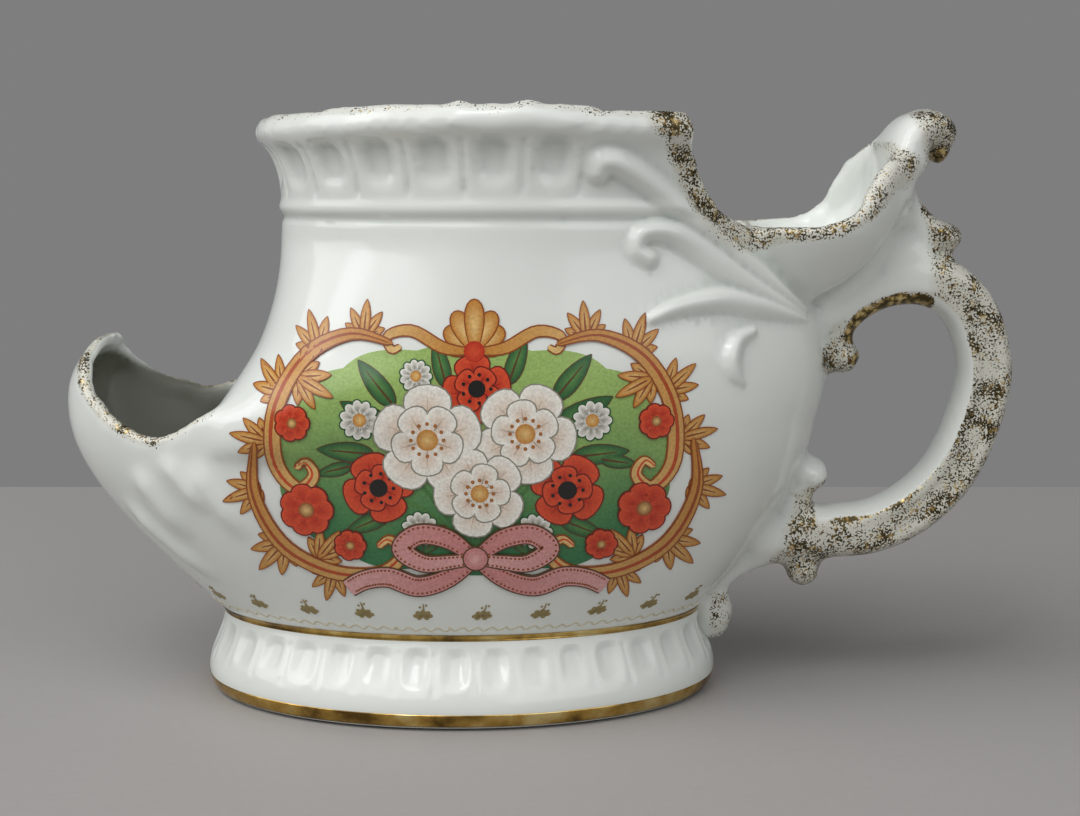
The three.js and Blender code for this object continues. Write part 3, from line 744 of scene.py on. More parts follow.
def handle_points():
    """Middle line of the handle, with half thickness and half width."""
    shares = (
        (-0.2, 0.8), (0.08, 0.9), (0.4, 1.0), (0.68, 1.0), (0.87, 0.91), (0.97, 0.77), (1.0, 0.61),
        (0.93, 0.41), (0.8, 0.23), (0.61, 0.1), (0.38, 0.02), (0.14, 0.0), (-0.4, -0.01),
    )
    return [
        (HANDLE_X + HANDLE_REACH * out, HANDLE_Z + HANDLE_HEIGHT * up, *HANDLE_HALF) for out, up in shares
    ]


def handle_line():
    """The free run of the handle's middle line."""
    points = handle_points()
    steps, first, last = 120, 26, 112
    return [spline(points, i / steps)[:2] for i in range(first, last)]


# Scroll ends and drops as points of x and z
CREST_ROLL = (84.2, 95.6)
UPPER_CURL = (68.2, 60.0)
CURL_STEM = (67.8, 64.0)
LOWER_CURL = (63.0, 38.8)
LOWER_KNOB = (62.0, 21.0)
THUMB = (86.2, 81.2)
DROP = (45.8, 13.2)


def knob(place, radius, wide=5.0):
    """Rounded end of a scroll, about as wide as the handle."""
    return ball((place[0], 0, place[1]), (radius, wide, radius))


def toe(z):
    """How far the foot is rounded in just above the table."""
    return 0.9 * (1 - smooth(z, 0, 0.9)) ** 2


def handle_forms():
    """Handle loop with its thumb scroll, curls, knob, tail and drop."""
    thumb = ((76.5, 91.5, 2.4, 5.2), (79.4, 86.6, 2.2, 5.2), (82.4, 83.4, 2.0, 5.0), (86.2, 81.4, 1.8, 4.8))
    stem = (
        (80.0, 73.0, 3.0, 4.8), (73.5, 71.0, 3.0, 4.8), (69.3, 68.0, 2.8, 4.8), (67.0, 64.0, 2.4, 4.6),
        (66.4, 60.4, 2.0, 4.4),
    )
    neck = ((62.0, 26.0, 5.0, 5.0), (59.0, 30.4, 4.4, 5.0), (60.0, 34.2, 3.0, 5.0), (61.6, 37.4, 2.0, 4.8))
    tail = ((61.5, 26.6, 3.6, 4.6), (55.0, 25.2, 3.4, 4.2), (49.4, 22.2, 2.8, 3.6), (45.2, 17.2, 2.2, 3.0))
    web = ((62.5, 70.0, 5.0, 5.4), (69.5, 76.5, 4.6, 5.0), (76.5, 80.6, 5.0, 5.0), (83.6, 78.6, 4.0, 4.6))
    infill = ((62.0, 70.0, 5.0, 5.8), (70.6, 74.4, 5.8, 5.8), (77.0, 77.4, 5.2, 5.6), (83.0, 76.4, 3.4, 5.2))
    return [
        sweep(handle_points(), 48, 140),
        sweep(web, 32, 30),
        sweep(infill, 32, 30),
        sweep(thumb, 32, 30),
        knob(THUMB, 2.7),
        sweep(stem, 32, 40),
        knob(UPPER_CURL, 3.2),
        sweep(neck, 32, 20),
        knob(LOWER_CURL, 3.2, 6.6),
        knob(LOWER_KNOB, 3.1),
        sweep(tail, 32, 30),
        ball((DROP[0], 0, DROP[1]), (3.7, 4.2, 5.6)),
    ]


# Relief


# Scrolls on the shoulder as points of x, z and half width
SCROLLS = (
    ((23.6, 93.2, 2.4), (24.4, 94.8, 2.7), (27.6, 94.2, 2.8), (32.4, 91.0, 2.7), (38.4, 86.2, 2.6),
     (46.0, 80.2, 2.3), (53.6, 74.2, 1.6), (60.4, 69.0, 0.5)),
    ((32.0, 79.0, 1.9), (29.9, 80.6, 1.9), (31.0, 83.2, 2.1), (35.0, 83.4, 2.5), (40.0, 80.8, 2.8),
     (47.0, 75.6, 2.4), (53.6, 71.6, 1.6), (60.0, 68.2, 0.5)),
    ((32.4, 69.4, 1.2), (37.0, 71.2, 2.0), (44.0, 72.0, 2.5), (50.0, 70.8, 2.3), (55.0, 69.2, 1.6),
     (60.2, 67.4, 0.5)),
    ((49.6, 66.6, 1.1), (47.0, 65.4, 1.7), (45.8, 62.6, 2.1), (46.4, 60.0, 1.6), (47.8, 58.2, 0.7)),
)
# Half width at which a scroll has its full height, and how far from its line it can reach
SCROLL_FULL = 2.6
SCROLL_REACH = 8
# Crease where the rest meets the root of the handle
CREASE = ((77.6, 87.0), (73.6, 79.6), (68.2, 73.8), (60.6, 69.0))
# Soft leaf ribs on the side of the spout, as start, end and half width
RIBS = (
    ((-54.5, 44.5), (-44.5, 30.5), 1.8),
    ((-44.0, 46.5), (-34.0, 31.5), 1.9),
    ((-49.0, 47.0), (-40.5, 36.0), 1.6),
    ((-58.0, 38.0), (-39.5, 22.0), 1.3),
)


def scroll_height(lines, x, z):
    """Share of the full relief at a point of the shoulder, 0 off the scrolls."""
    best = 0.0
    for line in lines:
        for (ax, az, first), (bx, bz, last) in zip(line, line[1:]):
            if abs(x - ax) + abs(z - az) > SCROLL_REACH:
                continue
            s = min(max(along_line(ax, az, bx, bz, x, z), 0), 1)
            half = first + (last - first) * s
            gap = ((x - ax - (bx - ax) * s) ** 2 + (z - az - (bz - az) * s) ** 2) / (half * half)
            if gap < 1:
                best = max(best, (1 - gap) ** 1.6 * min(half / SCROLL_FULL, 1))
    return best


def panel(across, up, pitch, height):
    """Depth share of one panel: a soft bowl, deepest near the top, with a fine line between neighbours."""
    if not 0 < up < height:
        return 0.0
    half = 0.36 * pitch
    low, high = 0.1 * height + half, 0.94 * height - 0.6 * half
    middle = min(max(up, low), high)
    gap = math.hypot(max(abs(across) - 0.15 * half, 0), up - middle)
    bowl = 1 - smooth(gap, 0.2 * half, half)
    line = math.exp(-(((abs(across) - pitch / 2) / 0.5) ** 2))
    line *= smooth(up, 0, 1.5) * smooth(height - up, 0, 1)
    return bowl * (0.35 + 0.65 * smooth(up / height, 0.1, 0.7)) + 0.3 * line


# Low end and length of the collar's flutes, as shares of its height
FLUTE_LOW = 0.4
FLUTE_SHARE = 0.53
# Place and half width by share of the collar's height, and rise in millimetres
BEAD = (0.325, 0.06, 0.45)
GROOVE = (0.225, 0.04, -0.4)
# Channel down the sides of the handle, which starts at this x
CHANNEL_DEPTH = 0.9
HANDLE_START = 62


class Relief:
    """Raised and sunk ornament on the outside of the vessel, in millimetres out along the normal."""

    def __init__(self, sizes):
        self.sizes = sizes
        self.lines = [run_through(points, 40) for points in SCROLLS]
        self.handle = handle_line()
        self.crease = run_through(CREASE, 40)
        self.oval = collar_oval(0.6)
        self.arc = arc_lengths(self.oval, [math.pi * (1 - i / ARC_STEPS) for i in range(ARC_STEPS + 1)])
        # A flute stands right under the middle of the rim, so the count sets the pitch
        self.pitch = 2 * self.arc[-1] / sizes.collar_flutes

    def collar(self, x, y, z):
        """Flutes, bead and groove round the neck, which stop short of the scrolls."""
        angle = oval_angle(self.oval, x, y)
        lift = RIM_SWELL * math.sin(angle) ** 2
        s = (z - NECK) / (COLLAR_HEIGHT + lift)
        across = off_flute(self.arc[min(int(ARC_STEPS * (1 - angle / math.pi)), ARC_STEPS)], self.pitch)
        end = 1 - smooth(x, 20.5, 22)
        flute = panel(across, (s - FLUTE_LOW) * COLLAR_HEIGHT, self.pitch, FLUTE_SHARE * COLLAR_HEIGHT)
        fade = 1 - smooth(x, 33, 42)
        bead, groove = (high * math.exp(-(((s - at) / wide) ** 2)) for at, wide, high in (BEAD, GROOVE))
        deep = self.sizes.flute_depth / MM
        return -deep * flute * end + fade * bead + fade * groove

    def spout(self, x, z):
        """Soft leaf ribs that run down the side of the spout."""
        height = 0.0
        for (ax, az), (bx, bz), half in RIBS:
            along = along_line(ax, az, bx, bz, x, z)
            px, pz = ax + (bx - ax) * along, az + (bz - az) * along
            gap = math.hypot(x - px, z - pz) / half
            ends = smooth(along, 0, 0.3) * (1 - smooth(along, 0.6, 1))
            height += ends * math.exp(-gap * gap)
        return height * self.sizes.rib_height / MM

    def channel(self, x, z):
        """Shallow channel down each side of the handle, fading at its ends."""
        gap, i = min((math.hypot(x - px, z - pz), i) for i, (px, pz) in enumerate(self.handle))
        dent = (1 - smooth(gap, 1.2, 3.0)) * smooth(i, 4, 20) * (1 - smooth(i, 66, 84))
        return -CHANNEL_DEPTH * max(dent, math.exp(-((near_line(self.crease, x, z) / 0.9) ** 2)))

    def at(self, x, y, z):
        out = 0.0
        if z > NECK + 1.5:
            out += self.collar(x, y, z)
        if x > 18 and z > 54:
            out += scroll_height(self.lines, x, z) * self.sizes.scroll_height / MM
        if x < -30 and z < 50:
            out += self.spout(x, z)
        return out


def emboss(bm, sizes):
    """Pushes the relief out of the faired skin."""
    relief = Relief(sizes)
    bm.normal_update()
    moves = []
    for vert in bm.verts:
        x, y, z = vert.co
        if x > HANDLE_START and abs(vert.normal.y) > 0.3:
            moves.append((vert, vert.normal * relief.channel(x, z)))
        if x > HANDLE_START or z < WAIST + 4:
            continue
        if z > SEAM:
            lift = RIM_SWELL * min(abs(y) / 30, 1) ** 2
            oval = neck_oval(z, lift)
        else:
            oval = belly_oval((z - WAIST) / (SEAM - WAIST))
        outward = Vector((x - oval.centre, y * 2, 0)).dot(vert.normal)
        reach, blunt = half_oval(oval, x < oval.centre)
        share = abs((x - oval.centre) / reach) ** blunt + abs(y / oval.depth) ** blunt
        if outward <= 0 or share < 0.86:
            continue
        height = relief.at(x, y, z)
        if height:
            moves.append((vert, vert.normal * height))
    for vert, move in moves:
        vert.co += move


# Gilding


def wall_inset(x, y, z):
    """How far a point lies inside the outer face of belly or spout."""
    oval = belly_oval(min((z - WAIST) / (SEAM - WAIST), 1))
    spout = x < oval.centre
    reach, blunt = half_oval(oval, spout)
    if spout:
        reach -= lip_lean(min(z, LIP_TOP))
    share = ((abs(x - oval.centre) / reach) ** blunt + (abs(y) / oval.depth) ** blunt) ** (1 / blunt)
    return (1 / max(share, 0.01) - 1) * math.hypot(x - oval.centre, y)


# Gold dabbed on scroll ends, by place, reach and density
DABS = (
    (UPPER_CURL, 5.4, 0.95),
    (CURL_STEM, 4.0, 0.75),
    (LOWER_KNOB, 4.5, 1.1),
    (THUMB, 4.2, 1.05),
    (CREST_ROLL, 3.0, 1.7),
)
# Underside of the handle where it springs from the rest, and the middles of that arch and of the whole loop
ARCH = ((69.6, 61.0), (70.6, 64.6), (73.2, 67.6), (77.0, 69.4), (80.6, 69.6))
ARCH_MIDDLE = (76, 56)
LOOP_MIDDLE = (74, 51)
# Where the edge of the rest ends beside the crest
LOBE = (75.4, 93.4)


def towards(middle, x, z, normal):
    """How far a face of the handle looks towards a middle."""
    return normal.dot(Vector((middle[0] - x, 0, middle[1] - z)).normalized())


class Sponge:
    """Where the gold was dabbed on, from 0 for none to 1 for dense."""

    def __init__(self, sizes):
        self.amount = sizes.gilding
        self.wave = sizes.rim_wave / MM
        end = DIP_X + REST_RUN
        steps = [DIP_START + (end - DIP_START) * i / 60 for i in range(61)]
        self.dip = [(DIP_START - 2.5, RIM_TOP + 1.2), *((x, dip_level(x)) for x in steps)]
        self.handle = handle_line()
        self.arch = run_through(ARCH, 30)

    def at(self, co, normal):
        x, y, z = co
        return self.amount * max(self.edges(x, y, z, normal), self.fittings(x, y, z, normal)) ** 0.6

    def edges(self, x, y, z, normal):
        """Rim, dip, rest and lip of the spout, gilded on top and outside only."""
        gold = [0.0]
        out = normal.y * math.copysign(1, y)
        if z > NECK - 3 and 26 < x < 80:
            wide = 8.0 - 4.2 * smooth(x, 46, 58)
            band = 1 - smooth(near_line(self.dip, x, z), wide * 0.5, wide)
            dense = 1.25 - 0.25 * smooth(x, 36, 44) - 0.12 * smooth(x, 55, 57)
            gold.append(band * smooth(out + 0.8 * normal.z, -0.1, 0.4) * dense)
        if z > RIM_TOP - 4 and x < 38:
            below = rim_level(oval_angle(collar_oval(1), x, y), self.wave) - z
            gold.append(0.68 * (1 - smooth(below, 0.8, 2.8)))
        if x < -28 and z > SEAM - 4:
            below = below_lip(x, y, z)
            side = 0.4 * out - 0.6 * normal.x + normal.z
            band = smooth(below, -3, -1.5) * (1 - smooth(below, 1.0, 3.6))
            neck = smooth(x, -50, -45) * smooth(wall_inset(x, y, z), 3.2, 4.2)
            fade = (1 - 0.4 * smooth(x, -44, -38)) * (1 - smooth(x, -40, -36)) * (1 - neck)
            gold.append(band * fade * smooth(side, 0.0, 0.5))
        return max(gold)

    def fittings(self, x, y, z, normal):
        """Crest, handle, curls, tail and drop."""
        if x < 42:
            return 0.0
        gold = [0.0]
        if z > 89:
            gold.append(0.95 * smooth(x + 0.3 * (z - 96), 77.5, 81.5))
            lobe = 1 - smooth(math.hypot(x - LOBE[0], z - LOBE[1]), 2.5, 5.5)
            gold.append(0.9 * lobe * smooth(normal.y * math.copysign(1, y) + normal.z, 0.1, 0.6))
        if 76 < z < 92 and x > 77.5:
            gold.append(0.95 * smooth(x - 0.3 * (90 - z), 78.0, 80.5))
        if near_line(self.handle, x, z) < 7.2 and x > 60:
            inward = towards(LOOP_MIDDLE, x, z, normal)
            bare = smooth(z, 64, 68) * (1 - smooth(x, 79, 85))
            gold.append((1 - smooth(inward, 0.35, 0.65)) * (1 - bare))
            # A line drawn on the lower inner edge
            line = math.exp(-(((inward - 0.5) / 0.13) ** 2)) * (1 - smooth(z, 38, 46))
            gold.append(2.0 * line * smooth(x, 65, 68))
        if 62 < x < 88 and 59 < z < 76:
            # Solid gold under the arch
            under = smooth(towards(ARCH_MIDDLE, x, z, normal), 0.2, 0.5)
            gold.append(2.1 * under * (1 - smooth(near_line(self.arch, x, z), 2.4, 3.4)))
        for (cx, cz), reach, dense in DABS:
            gold.append(dense * (1 - smooth(math.hypot(x - cx, z - cz), reach - 1.5, reach)))
        cx, cz = LOWER_CURL
        if math.hypot(x - cx, z - cz) < 5:
            gold.append(smooth(0.4 * (x - cx) - (z - cz), 0.4, 2.0))
        if 52 < x < 64 and 18 < z < 34:
            # Tail
            gold.append(1.1 * smooth(x - 0.4 * (z - 24), 53.5, 58))
        if 42 < x < 51 and z < 17.5:
            # Drop
            gold.append(0.7 * smooth(x, 43.6, 45.4))
        return max(gold)


# Length from the neck's middle over which the spout's inside turns to face back
SPOUT_SPAN = 81
# Bend at which a hollow is full of glaze, and passes that even it out
POOL_SIZE = 0.004
POOL_PASSES = 14


def stained(co, normal):
    """How much painted shade darkens the glaze: full inside the belly and the spout, none outside."""
    x, y, z = co
    if z < WAIST + 1 or z > LIP_TOP or (x > LIP_END + 6 and z > SEAM + 1):
        return 0.0
    oval = belly_oval(min((z - WAIST) / (SEAM - WAIST), 1))
    facing = 0.5 * normal.z - normal.x * (x - oval.centre) / SPOUT_SPAN - normal.y * y / oval.depth
    far = 1 - 0.5 * smooth(x, -54, -42) * smooth(z, SEAM - 4, SEAM + 4)
    inside = smooth(wall_inset(x, y, z), 1.2, 2.1) * smooth(facing, -0.2, 0.3)
    return far * inside * smooth(below_lip(x, y, z), -1.2, 0.4)


def pooled(mesh):
    """How deep the glaze lies at each point: most in the hollows, evened out between neighbours."""
    near = [[] for _ in mesh.vertices]
    for edge in mesh.edges:
        a, b = edge.vertices
        near[a].append(b)
        near[b].append(a)
    places = [v.co.copy() for v in mesh.vertices]
    sunk = []
    for vert, others in zip(mesh.vertices, near):
        count = max(len(others), 1)
        mean = sum((places[i] for i in others), Vector()) / count
        span = max(sum((places[i] - vert.co).length for i in others) / count, 1e-6)
        sunk.append((mean - vert.co).dot(vert.normal) / (span * span) * POOL_SIZE)
    for _ in range(POOL_PASSES):
        sunk = [
            0.5 * value + 0.5 * sum(sunk[i] for i in others) / max(len(others), 1)
            for value, others in zip(sunk, near)
        ]
    return [min(max(value, 0), 1) for value in sunk]


def paint(piece, sizes, gilded=False):
    """Stores the gilding, the painted shade inside and the pooled glaze on the points of a finished piece."""
    mesh = piece.data
    sponge = Sponge(sizes)
    shift = Vector((FOOT_X, 0, 0))
    spots = [(v.co / MM - shift, v.normal.copy()) for v in mesh.vertices]
    for name, values in (
        ("gilt", [sponge.at(*spot) if gilded else 0.0 for spot in spots]),
        ("pool", pooled(mesh)),
        ("inside_shade", [stained(*spot) for spot in spots]),
    ):
        mesh.attributes.new(name, "FLOAT", "POINT").data.foreach_set("value", values)


# Transfer


# Height of the lowest enamel, of each one over it and of the edges let into the glaze
FILM = 0.08
LAYER = 0.011
SUNK = -0.12
# How far outlines show beside a stroke and round a petal
OUTLINE = 0.25
PETAL_OUTLINE = 0.22
# Folds sharper than this, in radians, keep their edge
SHARP = 0.6


def blend(first, last, s):
    return [a + (b - a) * s for a, b in zip(first, last)]


class Transfer:
    """Thin enamel shapes laid on the glazed body, each at its own layer, drawn in millimetres."""

    def __init__(self):
        body = bmesh.new()
        body.from_mesh(bpy.data.objects["glazed_body"].data)
        self.tree = BVHTree.FromBMesh(body)
        body.free()
        self.parts = []
        self.aim(Vector((0, -60, 0)), Vector((1, 0, 0)), Vector((0, 0, 1)))

    def aim(self, origin, right, up):
        self.origin, self.right, self.up = origin, right, up
        self.into = up.cross(right)

    def drop(self, x, z, height):
        """The point on the body straight behind x, z, raised by height."""
        start = self.origin + self.right * x + self.up * z + Vector((FOOT_X, 0, 0))
        spot, normal, _, _ = self.tree.ray_cast(start * MM, self.into)
        return spot / MM - Vector((FOOT_X, 0, 0)) + normal * height

    def lay(self, columns, rows, place):
        """A grid wrapped onto place(column, row), which gives x, z, height and colour."""
        bm = bmesh.new()
        tint = bm.verts.layers.float_color.new("enamel")
        bmesh.ops.create_grid(bm, x_segments=columns, y_segments=rows, size=0.5)
        for vert in bm.verts:
            column, row = round((vert.co.x + 0.5) * columns), round((vert.co.y + 0.5) * rows)
            x, z, height, colour = place(column, row)
            vert.co = self.drop(x, z, height)
            vert[tint] = (*colour[:3], 1.0)
        bmesh.ops.remove_doubles(bm, verts=bm.verts, dist=WELD)
        bmesh.ops.recalc_face_normals(bm, faces=bm.faces)
        for edge in bm.edges:
            edge.smooth = edge.calc_face_angle(0) < SHARP
        self.parts.append(bm)

    def patch(self, edge, middle, layer, colour, columns=24, rings=3):
        """A filled shape, with its outline by angle, and its colour by x, z and share from the middle."""
        top = FILM + LAYER * layer
        steps = [(i / rings, top) for i in range(rings + 1)] + [(1, SUNK), (0, SUNK)]

        def place(column, row):
            share, height = steps[row]
            ex, ez = edge(TURN * column / columns)
            x = middle[0] + (ex - middle[0]) * share
            z = middle[1] + (ez - middle[1]) * share
            return x, z, height, colour(x, z, share)

        self.lay(columns, len(steps) - 1, place)

    def stroke(self, points, layer, first, last, rows=24):
        """A brush line through points of x, z and half width, from one colour to another."""
        top = FILM + LAYER * layer
        sides = ((-1, top), (0, top), (1, top), (1, SUNK), (-1, SUNK), (-1, top))

        def place(column, row):
            v = row / rows
            x, z, half = spline(points, v)
            dx, dz = heading(points, v, 0.02)
            run = math.hypot(dx, dz)
            side, height = sides[column]
            if row in (0, rows):
                side, height = 0, top
            return x - dz / run * half * side, z + dx / run * half * side, height, blend(first, last, v)

        self.lay(len(sides) - 1, rows, place)

    def lined_stroke(self, points, layer, line, first, last, rows=24):
        """A brush line over a wider one that outlines it."""
        self.stroke([(x, z, half + OUTLINE) for x, z, half in points], layer, line, line, rows)
        self.stroke(points, layer + 1, first, last, rows)

    def petal(self, base, turn, length, width, layer, inner, outer, ink=None, flare=0.3, point=0.0):
        """A petal or leaf from its base outwards: flare widens its tip, point sharpens it, ink lines it."""
        along = (math.cos(turn), math.sin(turn))

        def edge(angle, grow=0.0):
            run = length * (1 + math.cos(angle)) / 2 + grow * math.cos(angle)
            half = (width / 2 + grow) * math.sin(angle) * (1 + flare * math.cos(angle))
            half *= abs(math.sin(angle / 2)) ** point
            return base[0] + along[0] * run - along[1] * half, base[1] + along[1] * run + along[0] * half

        middle = [(a + b) / 2 for a, b in zip(edge(math.pi / 2), edge(3 * math.pi / 2))]
        if ink:
            outline = partial(edge, grow=PETAL_OUTLINE)
            self.patch(outline, middle, layer, lambda x, z, s: ink, columns=20)
        self.patch(edge, middle, layer + 1, lambda x, z, s: blend(inner, outer, s), columns=20)

    def disc(self, middle, radius, layer, inner, outer):
        def edge(angle):
            return out_from(middle, angle, radius)

        self.patch(edge, middle, layer, lambda x, z, s: blend(inner, outer, s), columns=16, rings=2)

    def finish(self, name, material):
        return finish_piece(name, gather(self.parts), material)


# Flower print


# Middle of the print on the near side
PRINT_X = 3.7
PRINT_Z = 47.0
# Layers of the print, counted up from the ground
STEM_LAYER = 3
LEAF_LAYER = 4
FAN_LAYER = 5
DAISY_LAYER = 9
CURL_LAYER = 9
SMALL_LEAF_LAYER = 11
FLOWER_LAYER = 12
FAN_HEART_LAYER = 15
SCROLL_LAYER = 23
RED_FLOWER_LAYER = 26
RIBBON_LAYER = 33
KNOT_LAYER = 39


def on_print(x, z):
    return PRINT_X + x, PRINT_Z + z


def ground(transfer, inks):
    """Green ground with a lobed edge, lighter at the top."""

    def edge(angle):
        cos, sin = math.cos(angle), math.sin(angle)
        lobe = 1 + 0.045 * abs(math.sin(7 * angle))
        return PRINT_X + 31 * power(cos, 0.8) * lobe, PRINT_Z - 0.5 + 18.5 * power(sin, 0.8) * lobe

    def colour(x, z, share):
        return blend(inks.ground_low, inks.ground_top, smooth(z + 2 * math.sin(0.4 * x), 28, 64))

    transfer.patch(edge, (PRINT_X, PRINT_Z), 0, colour, columns=196, rings=30)


def border(transfer, inks, side):
    """Scrolls and leaves at one end of the ground."""

    def spot(x, z):
        return on_print(side * x, z)

    scrolls = (
        ((13, 18.6, 0.3), (20, 20, 0.8), (27.4, 16.4, 1.1), (32, 8.6, 1.2), (32.4, -0.6, 1.2),
         (29, -5.0, 1.0), (26.2, -2.8, 0.8), (27.4, -0.4, 0.6), (29.2, -1.6, 0.4)),
        ((35.6, 3, 0.3), (36.4, -6, 0.9), (32, -15, 1.2), (24, -19.5, 1.2), (16, -19.5, 1.0), (12, -16, 0.8),
         (14, -13.4, 0.6), (16, -14.8, 0.4)),
    )
    for points in scrolls:
        line = [(*spot(x, z), half) for x, z, half in points]
        transfer.lined_stroke(line, SCROLL_LAYER, inks.russet, inks.gold, inks.gold_light, rows=40)
        vein = [(*spot(x + 0.25, z), half * 0.25) for x, z, half in points]
        transfer.stroke(vein, SCROLL_LAYER + 2, inks.russet, inks.red_light, rows=40)
    leaves = (
        (18, 19.6, 95, 5.8), (25.6, 17.2, 72, 6.4), (31, 10.8, 40, 6.4), (33.6, 3.0, 10, 6.2),
        (35.4, -5.4, -20, 6.6), (31.6, -14.6, -48, 7.4), (23.6, -19.2, -74, 6.2), (28.6, 13.0, 206, 6.4),
        (26.0, -17.0, 128, 6.0),
    )
    for i, (x, z, turn, size) in enumerate(leaves):
        angle = math.radians(turn if side > 0 else 180 - turn)
        acanthus(transfer, inks, spot(x, z), angle, size, SMALL_LEAF_LAYER if i > 6 else 0)
    enamels = (inks.red, inks.red_light, inks.wine)
    petals = 7
    for x, z, radius in ((27.6, -8.6, 4.4), (29.4, 6.0, 2.8), (20.6, -14.6, 2.6)):
        for i in range(petals):
            turn = TURN * i / petals
            transfer.petal(spot(x, z), turn, radius, radius * 0.72, RED_FLOWER_LAYER, *enamels, flare=0.4)
        transfer.disc(spot(x, z), radius * 0.3, RED_FLOWER_LAYER + 3, inks.gold_light, inks.russet)


def acanthus(transfer, inks, spot, turn, size, base):
    """Leaf of five lobes, each with a vein."""
    enamels = (inks.gold_light, inks.gold, inks.russet)
    widths = ((0.1, 0.14), (0.4, 0.16), (0.75, 0.06))
    for i, (spread, share) in enumerate(((-62, 0.62), (62, 0.62), (-32, 0.84), (32, 0.84), (0, 1.0))):
        layer = base + 2 * i
        angle = turn + math.radians(spread)
        length = size * share
        transfer.petal(spot, angle, length, size * 0.3, layer, *enamels, flare=0.1, point=0.5)
        vein = [(*out_from(spot, angle, length * s), half) for s, half in widths]
        transfer.stroke(vein, layer + 2, inks.russet, inks.russet, rows=6)


def palmette(transfer, inks):
    """Fan of gold leaves over the ground."""
    base = on_print(0, 17.5)
    curl = ((0.5, 0, 0.4), (5, 0.6, 0.8), (10, 3.2, 0.8), (14, 2.4, 0.6), (13.4, 0.2, 0.5), (11.8, 0.8, 0.3))
    for i, turn in enumerate((-75, 75, -52, 52, -27, 27, 0)):
        length = 8.2 - 0.045 * abs(turn)
        angle = math.radians(90 - turn)
        layer = FAN_LAYER + 2 * (i // 2)
        transfer.petal(base, angle, length, 2.8, layer, inks.gold_light, inks.gold, inks.russet, flare=0.35)
    for side in (-1, 1):
        line = [(base[0] + side * x, base[1] + z, half) for x, z, half in curl]
        transfer.lined_stroke(line, CURL_LAYER, inks.russet, inks.gold, inks.gold_light)
    transfer.disc(base, 1.7, FAN_HEART_LAYER, inks.red_light, inks.red)


def bloom(transfer, spot, radius, turn, base, petals, enamels):
    """Open flower with two rows of petals."""
    inner, outer, line = enamels
    widths = ((0.3, 0.1), (0.55, 0.1), (0.8, 0.05))
    fit = 2 * 0.66 * math.sin(math.pi / petals)
    for row, share in enumerate((1.0, 0.66)):
        for i in range(petals):
            angle = turn + TURN * (i + 0.5 * row) / petals
            length = radius * share
            transfer.petal(spot, angle, length, length * fit, base + 2 * row, inner, outer, line, flare=0.5)
            crease = [(*out_from(spot, angle, length * s), half) for s, half in widths]
            transfer.stroke(crease, base + 2 * row + 2, line, inner, rows=6)


def stamens(transfer, spot, reach, count, layer, first, last):
    for i in range(count):
        transfer.disc(out_from(spot, TURN * i / count, reach), 0.3, layer, first, last)


def dog_rose(transfer, inks, spot, radius, turn, base):
    """White rose with a gold heart."""
    bloom(transfer, spot, radius, turn, base, 5, (inks.blush, inks.white, inks.shade))
    transfer.disc(spot, radius * 0.2, base + 6, inks.gold_light, inks.gold)
    stamens(transfer, spot, radius * 0.3, 12, base + 6, inks.gold, inks.russet)


def poppy(transfer, inks, spot, radius, turn, base):
    """Red poppy with a black heart."""
    bloom(transfer, spot, radius, turn, base, 4, (inks.red, inks.red_light, inks.wine))
    transfer.disc(spot, radius * 0.26, base + 6, inks.ink, inks.ink)
    stamens(transfer, spot, radius * 0.42, 9, base + 6, inks.ink, inks.ink)


def daisy(transfer, inks, spot, radius):
    enamels = (inks.shade, inks.white, inks.leaf)
    petals = 11
    for i in range(petals):
        transfer.petal(spot, TURN * i / petals, radius, radius * 0.46, DAISY_LAYER, *enamels, flare=0.3)
    transfer.disc(spot, radius * 0.34, DAISY_LAYER + 2, inks.gold_light, inks.gold)


